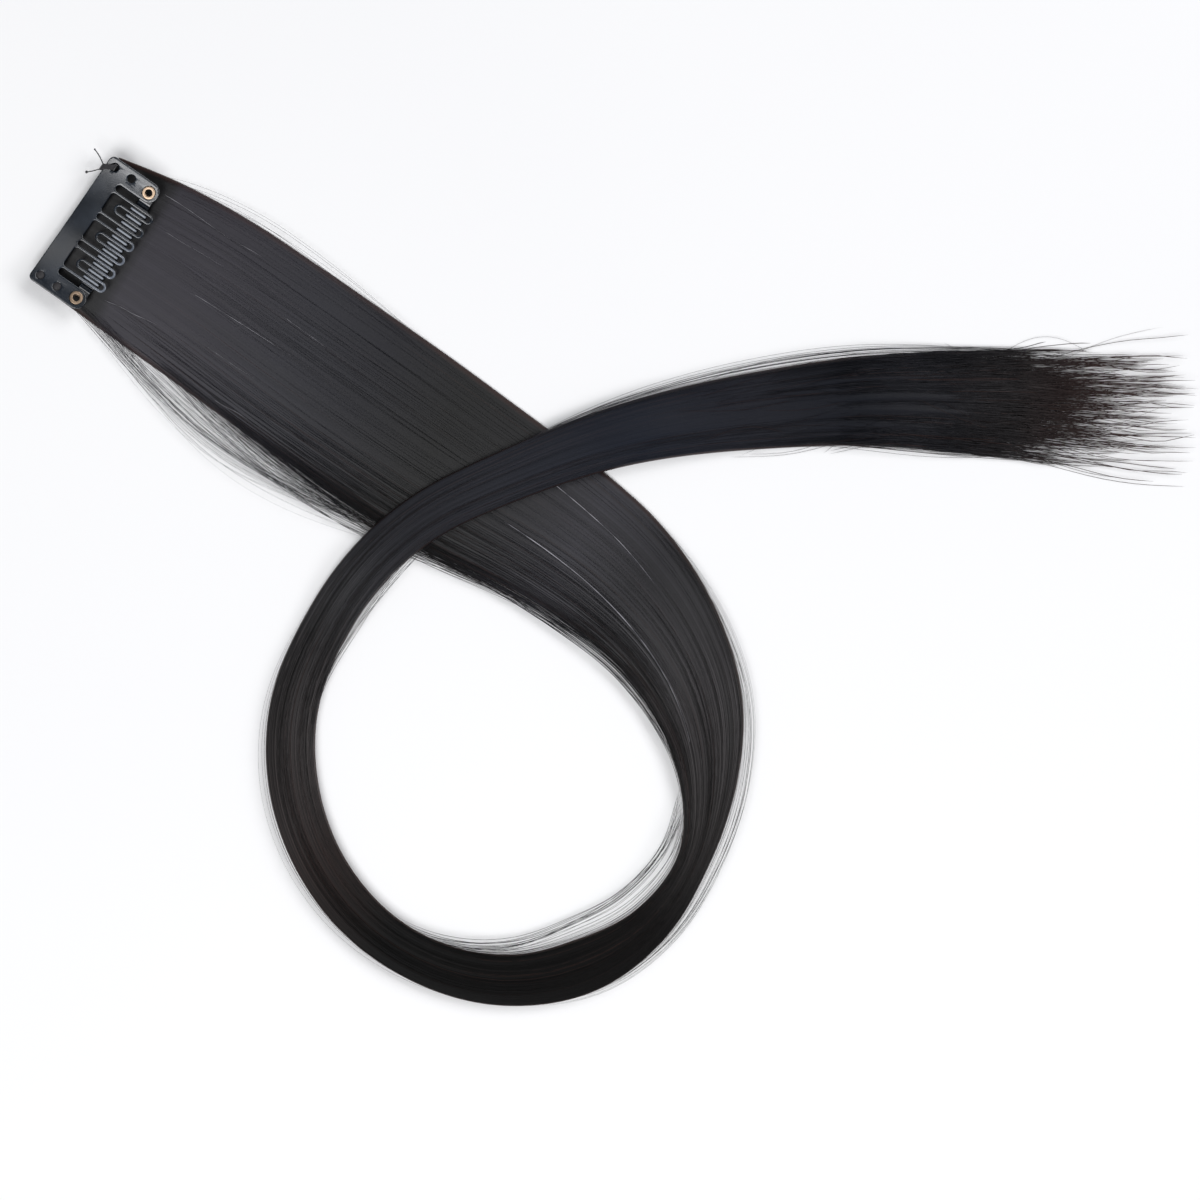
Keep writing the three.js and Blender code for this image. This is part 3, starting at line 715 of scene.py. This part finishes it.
def windingLine():
    t = threads
    middle = float(archAt(windingX)) + comb["thick"] / 2
    high = comb["thick"] / 2 + clip["seatGap"] + t["width"] / 2 + 0.04
    back, front, corner = clip["seatGap"] + t["width"] / 2, -comb["sewInset"], t["corner"]
    loop = arcPoints(back - corner, high - corner, corner, 90, 0, 6) + arcPoints(back - corner, -high
            + corner, corner, 0, -90, 6)
    loop += arcPoints(front + corner, -high + corner, corner, 270, 180, 6)
    loop += arcPoints(front + corner, high - corner, corner, 180, 90, 6)
    points = []
    for turn in range(t["turns"]):
        for i, (y, z) in enumerate(loop):
            sideways = (turn + i / len(loop) - t["turns"] / 2) * t["pitch"]
            points.append((windingX + sideways - t["lean"] * (y - front), y, middle + z))
    return points


def tailLine(tail):
    t = threads
    back = clip["seatGap"] + t["width"] / 2
    middle = float(archAt(windingX)) + comb["thick"] / 2
    foot = windingX - t["lean"] * (back + comb["sewInset"]) + tail["turn"] * (t["turns"] - 1) / 2 * t["pitch"]
    share = np.linspace(0, 1, 24)
    bow = 0.25 * np.sin(np.pi * share) * tail["turn"]
    return np.stack([foot + tail["along"] * share ** 1.2 + bow, back - 0.1 + (tail["out"] + 0.1) * share,
                     middle - t["tailDrop"] * share ** 1.5], axis=1)


def threadMesh():
    t = threads
    bm = bmesh.new()
    parts = [twistedTube(windingLine(), t["width"])]
    for tail in t["tails"]:
        line = tailLine(tail)
        parts.append(twistedTube(line, t["tailWidth"], 7))
        knob = bmesh.new()
        bmesh.ops.create_icosphere(knob, subdivisions=3, radius=tail["knob"])
        for vert in knob.verts:
            vert.co *= 1 + 0.12 * math.sin(9 * vert.co.x / tail["knob"] + 5 * vert.co.z / tail["knob"])
        bmesh.ops.translate(knob, vec=line[-1], verts=knob.verts)
        bmesh.ops.scale(knob, vec=(mm, mm, mm), verts=knob.verts)
        parts.append(knob)
    for part in parts:
        mesh = toMesh(part)
        bm.from_mesh(mesh)
        bpy.data.meshes.remove(mesh)
    return toMesh(bm, clipPlace)


finishPiece("thread_winding", threadMesh(), finishes["thread"], ["thread_tie"])


# The sewn track that holds the hair, under the clip's back edge

track = {
    "inset": 0.5,  # from the clip's back edge and ends
    "depth": 3.5,
    "layers": 5,  # of folded hair, one over the other
    "layerDepth": 0.14,
    "dipFrom": 11.9,  # where its top is pressed down under the thread winding
    "dip": 0.8,
    "stitchRows": (0.3, 0.66),  # shares of the height
    "stitchPitch": 1.5,
    "stitchLength": 1.15,
    "stitchWidth": 0.22,
    "holeStitch": (0.9, 0.35),  # half its width and half its height, in the sewing holes at the left
}


def trackAt(u, v):
    t = track
    x = (v - 0.5) * 2 * (halfClip - t["inset"])
    low = -clip["height"]
    high = archAt(x) - clip["seatGap"] - t["dip"] * smooth((x - t["dipFrom"] + 0.5) / 0.5)
    turn = u * 2 * np.pi
    power = 0.3
    across = np.sign(np.cos(turn)) * np.abs(np.cos(turn)) ** power
    up = np.sign(np.sin(turn)) * np.abs(np.sin(turn)) ** power
    share = (up + 1) / 2
    fold = 1 - t["layerDepth"] * (1 - np.abs(np.sin(np.pi * share * t["layers"])) ** 0.5) / (t["depth"] / 2)
    ends = 1 - 0.12 * smooth((np.abs(x) - halfClip + t["inset"] + 0.8) / 0.8)
    y = -(t["inset"] + t["depth"] / 2) + across * fold * ends * t["depth"] / 2
    return x, y, low + (high - low) * share


def trackMesh():
    t = track
    bm = rolledGrid(80, 180, trackAt)
    return toMesh(bm, clipPlace)


def stitchMesh():
    t = track
    bm = bmesh.new()
    count = int(2 * (halfClip - t["inset"] - 1) / t["stitchPitch"])
    for row, share in enumerate(t["stitchRows"]):
        for i in range(count):
            x = (i - (count - 1) / 2) * t["stitchPitch"]
            z = -clip["height"] + share * (clip["height"] + float(archAt(x)) - clip["seatGap"])
            place = Matrix.Translation((x, -t["inset"] + 0.02, z)) @ Matrix.Rotation(0.35 * (-1) ** row, 4,
                    "Y")
            size = Matrix.Diagonal((t["stitchLength"] / 2, t["stitchWidth"] / 2, t["stitchWidth"] / 2, 1))
            bmesh.ops.create_uvsphere(bm, u_segments=12, v_segments=8, radius=1,
                                      matrix=clipPlace @ Matrix.Scale(mm, 4) @ place @ size)
    x, (wide, high) = comb["sewInset"] - halfClip, t["holeStitch"]
    for y in (-comb["sewInset"], -comb["sewInset"] - comb["sewPitch"]):
        place = Matrix.Translation((x, y, float(archAt(x)))) @ Matrix.Diagonal((wide, wide, high, 1))
        bmesh.ops.create_uvsphere(bm, u_segments=28, v_segments=14, radius=1,
                                  matrix=clipPlace @ Matrix.Scale(mm, 4) @ place)
    return toMesh(bm)


finishPiece("weft_band", trackMesh(), finishes["track"], ["hair_weft"])
finishPiece("weft_stitches", stitchMesh(), finishes["thread"])


# The hair's route and section, as in the part's source

hair = {
    "length": 560,
    "bandWidth": 40,
    "ropeThick": 5,
    "startTurn": 55.3 - 90 + 3.7,
    "stretches": [(0.234, -5), (0.059, -23.5), (0.266, -192), (0.156, -84), (0.179, -25.5), (0.106, 0)],
    "at": [0, 0.03, 0.06, 0.09, 0.12, 0.15, 0.18, 0.22, 0.25, 0.28, 0.31, 0.34, 0.37, 0.4, 0.43, 0.46, 0.5,
       0.54, 0.58, 0.61, 0.65, 0.73, 0.78, 0.84, 0.88, 0.94, 1],
    "width": [0.775, 0.871, 0.932, 0.962, 0.972, 0.965, 0.93, 0.835, 0.762, 0.631, 0.487, 0.306, 0.172, 0.211,
          0.284, 0.268, 0.243, 0.25, 0.26, 0.254, 0.243, 0.27, 0.318, 0.41, 0.473, 0.563, 0.6],
    "thick": [0.3, 0.31, 0.333, 0.377, 0.4, 0.41, 0.42, 0.469, 0.5, 0.604, 0.697, 0.9, 1, 0.96, 0.92, 0.912,
          0.9, 0.89, 0.88, 0.848, 0.8, 0.68, 0.632, 0.58, 0.54, 0.46, 0.36],
    "shift": [0, 0.6, 0.3, -0.6, -1.2, -1.4, -1.2, 0.1, 0, -0.3, -1.2, -1.4, -0.4, 0.2, 0.1, 0, -0.4, -0.1,
          1.1, 1.3, 0, 0.2, 0.9, 0.5, 0.8, 1, 1],
    "fanAcross": [-0.4, -0.267, -0.133, 0, 0.133, 0.267, 0.4],
    "fan": [-0.11, -0.1, -0.05, 0, 0, -0.01, -0.02],
    "fanFrom": 0.88,
    "startShare": 0.004,
    "settleShare": 0.12,
    "startWidth": 31,
    "crown": 0.45,
    "edgeFrom": 0.475,  # where the section starts to round down, and where it ends, as shares of the width
    "edgeTo": 0.515,
    "lowerRun": 0.36,
    "upperRun": 0.5,
    "ramp": 30,
    "gap": 0.3,
}


# A smooth curve through the table's values
def sizeAt(column, share):
    at, sizes = np.array(hair["at"]), np.array(hair[column])
    last = len(at) - 1
    low, high = np.maximum(np.arange(last + 1) - 1, 0), np.minimum(np.arange(last + 1) + 1, last)
    slopes = (sizes[high] - sizes[low]) / (at[high] - at[low])
    kept = np.clip(share, 0, 1)
    after = np.clip(np.searchsorted(at, kept), 1, last)
    span = at[after] - at[after - 1]
    t = (kept - at[after - 1]) / span
    held = (1 + 2 * t) * (1 - t) ** 2 * sizes[after - 1] + t ** 2 * (3 - 2 * t) * sizes[after]
    return held + t * (1 - t) ** 2 * span * slopes[after - 1] - t ** 2 * (1 - t) * span * slopes[after]


def hairWidth(share):
    start = hair["startWidth"] - hair["bandWidth"] * hair["width"][0]
    return hair["bandWidth"] * sizeAt("width", share) + start * (1 - smooth(share / hair["settleShare"]))


def headingAt(share):
    degrees, start = hair["startTurn"] + 0 * share, 0
    for length, turn in hair["stretches"]:
        degrees = degrees + turn * np.clip((share - start) / length, 0, 1)
        start += length
    return np.radians(degrees)


routeShare = np.linspace(0, 1, 401)
stepX = hair["length"] / 400 * np.cos(headingAt(routeShare))
stepY = hair["length"] / 400 * np.sin(headingAt(routeShare))
routeX = clip["back"][0] + np.concatenate([[0], np.cumsum(stepX)[:-1]])
routeY = clip["back"][1] + np.concatenate([[0], np.cumsum(stepY)[:-1]])


# The spot beside the mid-line, in millimetres. Past the last share the line runs straight on.
def besideRoute(share, across):
    heading = headingAt(share)
    sideways = across + sizeAt("shift", share)
    over = np.maximum(share - 1, 0) * hair["length"]
    x = np.interp(share, routeShare, routeX) + over * np.cos(heading)
    y = np.interp(share, routeShare, routeY) + over * np.sin(heading)
    return x - sideways * np.sin(heading), y + sideways * np.cos(heading)


# How far the upper run is lifted, so that it passes over the lower run in a long low hump
def liftAt(x, y, share, room):
    lower = routeShare < hair["lowerRun"]
    clear = hairWidth(routeShare[lower]) / 2
    tops = hair["ropeThick"] * sizeAt("thick", routeShare[lower]) + hair["gap"]
    lift = np.zeros_like(x)
    for lowX, lowY, wide, top in zip(routeX[lower], routeY[lower], clear, tops):
        away = np.hypot(x - lowX, y - lowY) - (wide + room + hair["gap"])
        lift = np.maximum(lift, top * (1 - smooth(away / hair["ramp"])))
    return np.where(share < hair["upperRun"], 0, lift)


def fanLean(share, across):
    lean = np.interp(across, hair["fanAcross"], hair["fan"])
    return lean * smooth((share - hair["fanFrom"]) / (1 - hair["fanFrom"]))


def topHeight(share, across):
    edge = np.clip((np.abs(across) - hair["edgeFrom"]) / (hair["edgeTo"] - hair["edgeFrom"]), 0, 1)
    return hair["ropeThick"] * sizeAt("thick", share) * (1 - hair["crown"] * (2 * across) ** 2) * np.sqrt(1
            - edge ** 2)


# Smooth random values between -1 and 1 over a lattice of columns across and rows along
def grain(across, along, columns, rows, seed):
    values = np.random.default_rng(seed).uniform(-1, 1, (columns + 2, rows + 2))
    x, y = np.clip(across, 0, 1) * columns, np.clip(along, 0, 1) * rows
    i, j = x.astype(int), y.astype(int)
    a, b = smooth(x - i), smooth(y - j)
    low = values[i, j] * (1 - a) + values[i + 1, j] * a
    high = values[i, j + 1] * (1 - a) + values[i + 1, j + 1] * a
    return low * (1 - b) + high * b


# Hair body: one closed form, flat below, with shallow grooves along its top

body = {
    "around": 132,
    "along": 520,
    "topShare": 0.82,  # of the columns, which lie over the top
    "end": 0.925,
    "endRagged": 0.015,
    "endCorners": 0.022,  # how much sooner it ends at its edges
    "taper": 0.08,
    "grooves": 60,
    "grooveDepth": 0.014,  # share of the thickness
    "ridges": 7,
    "ridgeDepth": 0.025,
    # Along these shares the lower edge is drawn in, under a loose fringe
    "fringeAt": [0.03, 0.06, 0.092, 0.125, 0.18, 0.2, 0.232, 0.262, 0.3, 0.36],
    "fringeBy": [0, 0.015, 0.03, 0.035, 0.04, 0.045, 0.08, 0.08, 0.05, 0],
}


def bodyAcross(u):
    b = body
    over = np.clip(u / b["topShare"], 0, 1)
    under = np.clip((u - b["topShare"]) / (1 - b["topShare"]), 0, 1)
    flat = 2 * over - 1
    eased = 0.7 * flat + 0.3 * np.sin(flat * np.pi / 2)
    return hair["edgeTo"] * np.where(u <= b["topShare"], eased, 1 - 2 * under)


def bodyShare(u, v):
    across = bodyAcross(u) / hair["edgeTo"] / 2 + 0.5
    sooner = body["endCorners"] * smooth(2 * np.abs(2 * across - 1) - 1)
    end = body["end"] - sooner + body["endRagged"] * grain(across, 0 * across, 23, 1, 5)
    return hair["startShare"] + v * (end - hair["startShare"]), end


def bodyAt(u, v):
    b = body
    across = bodyAcross(u)
    share, end = bodyShare(u, v)
    place = across / hair["edgeTo"] / 2 + 0.5
    drawn = across + np.interp(share, b["fringeAt"], b["fringeBy"]) * smooth(-across / hair["edgeTo"])
    x, y = besideRoute(share, (drawn + fanLean(share, across)) * hairWidth(share))
    rest = np.sqrt(1 - 0.93 * smooth((share - end + b["taper"]) / b["taper"]))
    groove = grain(place, share, b["grooves"], 14, 1) * b["grooveDepth"] + grain(place, share, b["ridges"],
            9, 2) * b["ridgeDepth"]
    top = topHeight(share, across) * rest * (1 + groove)
    lift = liftAt(x, y, share, 0.115 * hairWidth(share))
    return x, y, lift + np.where(u <= b["topShare"], top, 0)


def bodyUv(u, v):
    return bodyAcross(u) / hair["edgeTo"] / 2 + 0.5, bodyShare(u, v)[0]


finishPiece("hair_body", toMesh(rolledGrid(body["around"], body["along"], bodyAt, bodyUv)), finishes["hair"],
            ["hair_weft"])


# Strands: three-sided tubes, each with a ring of points at every step of its line

strandSides = 3


def strandMesh(lines, widths, tones, shares, tip=0.16):
    count, steps = lines.shape[:2]
    ahead = np.gradient(lines, axis=1)
    ahead /= np.linalg.norm(ahead, axis=2)[:, :, None]
    beside = np.cross(ahead, (0, 0, 1))
    beside /= np.linalg.norm(beside, axis=2)[:, :, None]
    above = np.cross(beside, ahead)
    along = np.linspace(0, 1, steps)
    taper = np.clip(np.minimum(along / 0.06, (1 - along) / tip), 0.18, 1)
    reach = widths[:, None] / 2 * taper[None, :]
    rings = []
    for k in range(strandSides):
        angle = math.radians(90 + 360 * k / strandSides)
        rings.append(lines + reach[:, :, None] * (math.cos(angle) * beside + math.sin(angle) * above))
    verts = np.stack(rings, axis=2) * mm
    index = np.arange(count * steps * strandSides).reshape(count, steps, strandSides)
    sides = [np.stack([index[:, :-1, k], index[:, 1:, k], index[:, 1:, (k + 1) % strandSides],
                       index[:, :-1, (k + 1) % strandSides]], axis=-1)
             for k in range(strandSides)]
    faces = np.concatenate([side.reshape(-1, 4) for side in sides]).tolist()
    faces += index[:, 0, :].tolist() + index[:, -1, ::-1].tolist()
    mesh = bpy.data.meshes.new("strands")
    mesh.from_pydata(verts.reshape(-1, 3).tolist(), [], faces)
    corners = np.empty(len(mesh.loops), int)
    mesh.loops.foreach_get("vertex_index", corners)
    strand, step = corners // (steps * strandSides), corners // strandSides % steps
    mesh.uv_layers.new(name="lie").data.foreach_set("uv",
                                                    np.stack([tones[strand], shares[strand, step]],
                                                            axis=1).ravel())
    mesh.shade_smooth()
    mesh.update()
    return mesh


# Lines that follow the hair: share and across are arrays of strands by steps, height is above what lies under
def followHair(share, across, height):
    width = hairWidth(share)
    x, y = besideRoute(share, (across + fanLean(share, across)) * width)
    lift = liftAt(x, y, share, 0.115 * width)
    rest = np.sqrt(1 - 0.93 * smooth((share - body["end"] + body["taper"]) / body["taper"]))
    inside = smooth((hair["edgeTo"] + 0.02 - np.abs(across)) / 0.05)
    top = topHeight(share, np.clip(across, -hair["edgeTo"], hair["edgeTo"])) * rest * inside
    return np.stack([x, y, lift + top + height], axis=-1)


def drift(count, steps, bends, seed):
    rng = np.random.default_rng(seed)
    along = np.linspace(0, 1, steps)[None, :]
    return sum(rng.normal(0, 1 / (k + 1), (count, 1))
               * np.sin(np.pi * (k + 1) * along + rng.uniform(0, 6.28, (count, 1)))
               for k in range(bends))


topStrands = {"count": 1150, "steps": 29, "wander": 0.008, "width": (0.07, 0.11), "height": (-0.04, 0.03)}


def makeTopStrands():
    t = topStrands
    rng = np.random.default_rng(11)
    reach = rng.uniform(0.05, 0.16, (t["count"], 1))
    middle = rng.uniform(0.02, 0.92, (t["count"], 1))
    home = rng.uniform(-0.48, 0.48, (t["count"], 1))
    limit = rng.uniform(0.91, 0.945, (t["count"], 1)) - body["endCorners"] * smooth(4 * np.abs(home) - 1)
    first, last = np.maximum(middle - reach, 0.012), np.minimum(middle + reach, limit)
    along = np.linspace(-1, 1, t["steps"])[None, :]
    share = (first + last) / 2 + (last - first) / 2 * along
    across = home + t["wander"] * drift(t["count"], t["steps"], 3, 12)
    height = rng.uniform(*t["height"], (t["count"], 1)) - 0.25 * np.abs(along) ** 6
    lines = followHair(share, across, height)
    return strandMesh(lines, rng.uniform(*t["width"], t["count"]), rng.uniform(0, 1, t["count"]), share)


finishPiece("hair_top_strands", makeTopStrands(), finishes["strand"])


# Wisps: groups of strands that leave the hair's edge between two shares. Bulge and spread are millimetres
# past the edge, peak is where along the wisp it is furthest out, and power is 1 for a round bow and more for
# a slender one.
wisps = {
    "steps": 46,
    "columns": ("side", "from", "to", "bulge", "spread", "count", "peak", "power", "width"),
    "groups": [
        (-1, 0.01, 0.2, 5.9, 1.3, 15, 0.45, 1.2, (0.06, 0.11)),
        (-1, 0.01, 0.2, 8.0, 1.2, 14, 0.46, 1.4, (0.03, 0.05)),
        (-1, 0.012, 0.2, 3.2, 2.0, 10, 0.46, 1.3, (0.04, 0.07)),
        (-1, 0.05, 0.22, 2.7, 2.5, 26, 0.5, 1.2, (0.05, 0.1)),
        (-1, 0.08, 0.26, 0.9, 2.0, 50, 0.5, 1, (0.07, 0.12)),
        (-1, 0.17, 0.37, 0, 2.0, 46, 0.45, 0.8, (0.06, 0.12)),
        (-1, 0.34, 0.52, 2.8, 3.0, 30, 0.35, 1, (0.05, 0.1)),
        (-1, 0.6, 0.72, 1.2, 1.0, 12, 0.6, 1, (0.06, 0.1)),
        (-1, 0.84, 0.97, 1.0, 1.0, 16, 0.5, 1, (0.06, 0.1)),
    ],
    "flyaways": [  # single thin hairs
        (1, 0.012, 0.17, 2.0, 1.2, 9, 0.4, 1, (0.04, 0.07)),
        (1, 0.24, 0.46, 1.7, 1.4, 18, 0.5, 1, (0.04, 0.07)),
        (1, 0.48, 0.66, 1.6, 1.2, 5, 0.5, 1, (0.04, 0.07)),
        (1, 0.74, 0.97, 1.4, 1.7, 26, 0.5, 1, (0.04, 0.08)),
    ],
}


def makeWisps(groups, seed):
    rng = np.random.default_rng(seed)
    lines, widths, shares = [], [], []
    steps = wisps["steps"]
    for number, row in enumerate(groups):
        wisp = dict(zip(wisps["columns"], row))
        side, count = wisp["side"], wisp["count"]
        start = wisp["from"] + rng.uniform(0, 0.02, (count, 1))
        end = wisp["to"] - rng.uniform(0, 0.04, (count, 1))
        along = np.linspace(0, 1, steps)[None, :]
        share = start + (end - start) * along
        bow = np.sin(np.pi * along ** (math.log(0.5) / math.log(wisp["peak"]))) ** wisp["power"]
        out = wisp["bulge"] + wisp["spread"] * rng.uniform(-1, 1, (count, 1))
        sideways = side * (out * bow + 0.25 * drift(count, steps, 3, seed + 9 + number) * along)
        across = side * rng.uniform(0.44, 0.5, (count, 1)) + 0 * share
        raised = 0.15 + 0.5 * rng.uniform(0, 1, (count, 1)) * np.sin(np.pi * along)
        line = followHair(share, across, raised)
        x, y = besideRoute(share, (across + fanLean(share, across)) * hairWidth(share) + sideways)
        line[:, :, 0], line[:, :, 1] = x, y
        lines.append(line)
        widths.append(rng.uniform(*wisp["width"], count))
        shares.append(share)
    widths = np.concatenate(widths)
    tones = rng.uniform(0, 1, len(widths))
    return strandMesh(np.concatenate(lines), widths, tones, np.concatenate(shares))


finishPiece("hair_wisps", makeWisps(wisps["groups"], 21), finishes["strand"])
finishPiece("hair_flyaways", makeWisps(wisps["flyaways"], 61), finishes["strand"])


# Single hairs that catch the light, each given by its shares and by where it lies across the width
shineLines = [
    {"shares": (0.203, 0.323), "across": (-0.1, -0.2), "width": 0.34},
    {"shares": (0.205, 0.262), "across": (0.27, 0.2), "width": 0.3},
    {"shares": (0.028, 0.05), "across": (-0.35, -0.29), "width": 0.18},
    {"shares": (0.055, 0.1), "across": (-0.02, 0.015), "width": 0.13},
    {"shares": (0.026, 0.056), "across": (0.405, 0.357), "width": 0.14},
    {"shares": (0.06, 0.07), "across": (0.365, 0.378), "width": 0.14},
    {"shares": (0.084, 0.1), "across": (-0.435, -0.41), "width": 0.16},
    {"shares": (0.034, 0.06), "across": (0.2, 0.21), "width": 0.1},
    {"shares": (0.07, 0.095), "across": (-0.22, -0.21), "width": 0.1},
    {"shares": (0.09, 0.12), "across": (0.17, 0.16), "width": 0.1},
]


def makeShine():
    steps = 60
    along = np.linspace(0, 1, steps)
    share, across = (np.stack([line[key][0] + (line[key][1] - line[key][0]) * along for line in shineLines])
                     for key in ("shares", "across"))
    lines = followHair(share, across + 0.003 * drift(len(shineLines), steps, 4, 71), 0.1 + 0 * share)
    return strandMesh(lines, np.array([line["width"] for line in shineLines]), np.full(len(shineLines), 0.5),
                      share, 0.4)


finishPiece("hair_shine_lines", makeShine(), finishes["shine"])


# Ends of the hair: some strands stop at the body's end, and the rest thin out beyond it, drawn into loose
# clumps

ends = {
    "count": 1500,
    "steps": 22,
    "from": 0.865,
    "thinsFrom": (0.938, 0.912),  # in the middle and at the edges
    "thinning": 0.0195,
    "longest": 1.005,
    "clumps": 40,
    "pull": 0.7,
    "width": (0.09, 0.17),
    "crossing": 0.09,
    "wave": 0.016,
}
strays = {"count": 60, "width": (0.05, 0.08), "slope": 0.26, "bow": 0.08, "last": 1.0}


def makeEnds():
    e = ends
    rng = np.random.default_rng(41)
    count = e["count"]
    home = rng.uniform(-0.505, 0.505, (count, 1))
    outward = smooth((np.abs(home) - 0.15) / 0.3)
    thinsFrom = e["thinsFrom"][0] + (e["thinsFrom"][1] - e["thinsFrom"][0]) * outward
    last = np.minimum(thinsFrom + rng.exponential(e["thinning"], (count, 1)), e["longest"]
                      - rng.uniform(0, 0.012, (count, 1)))
    first = e["from"] + rng.uniform(0, 0.035, (count, 1))
    along = np.linspace(0, 1, e["steps"])[None, :]
    share = first + (last - first) * along
    clumps = np.sort(rng.uniform(-0.5, 0.5, e["clumps"]))
    nearest = clumps[np.abs(home - clumps[None, :]).argmin(axis=1)][:, None]
    gather = smooth((share - 0.93) / 0.05)
    drawn = (nearest - home) * gather * e["pull"] * rng.uniform(0.3, 1.1, (count, 1))
    away = rng.normal(0, e["crossing"], (count, 1)) * smooth((share - 0.92) / 0.07)
    wave = e["wave"] * (0.5 + gather) * drift(count, e["steps"], 9, 42)
    height = rng.uniform(-0.3, 0.2, (count, 1)) * (1 - along) + rng.uniform(0.0, 1.4, (count, 1)) * along ** 2
    lines = followHair(share, home + drawn + away + wave, height)
    lines[:, :, 2] = np.maximum(lines[:, :, 2], 0.06)
    return strandMesh(lines, rng.uniform(*e["width"], count), rng.uniform(0, 1, count), share, 0.04)


def makeStrays():
    t = strays
    rng = np.random.default_rng(81)
    count = t["count"]
    along = np.linspace(0, 1, 41)[None, :]
    share = rng.uniform(0.8, 0.94, (count, 1)) + rng.uniform(0.03, 0.08, (count, 1)) * along
    share = np.minimum(share, t["last"] - 0.02 * (1 - along))
    across = rng.uniform(-0.5, 0.5, (count, 1)) + rng.normal(0, t["slope"], (count, 1)) * (along - 0.5)
    across = across + rng.normal(0, t["bow"], (count, 1)) * np.sin(np.pi * along)
    lines = followHair(share, across, rng.uniform(0.15, 0.5, (count, 1)) + 0 * share)
    lines[:, :, 2] = np.maximum(lines[:, :, 2], 0.1)
    return strandMesh(lines, rng.uniform(*t["width"], count), rng.uniform(0, 0.05, count), share)


finishPiece("hair_ends", makeEnds(), finishes["strand"])
finishPiece("hair_strays", makeStrays(), finishes["strand"])
print("hair made")


# Table

def makeTable():
    bm = bmesh.new()
    bmesh.ops.create_grid(bm, x_segments=1, y_segments=1, size=studio["tableSize"] / 2)
    mesh = toMesh(bm, Matrix.Translation((0, 0, -0.00002)))
    mesh.materials.append(finishes["sheet"])
    table = bpy.data.objects.new("table", mesh)
    sceneRoot.collection.objects.link(table)


makeTable()
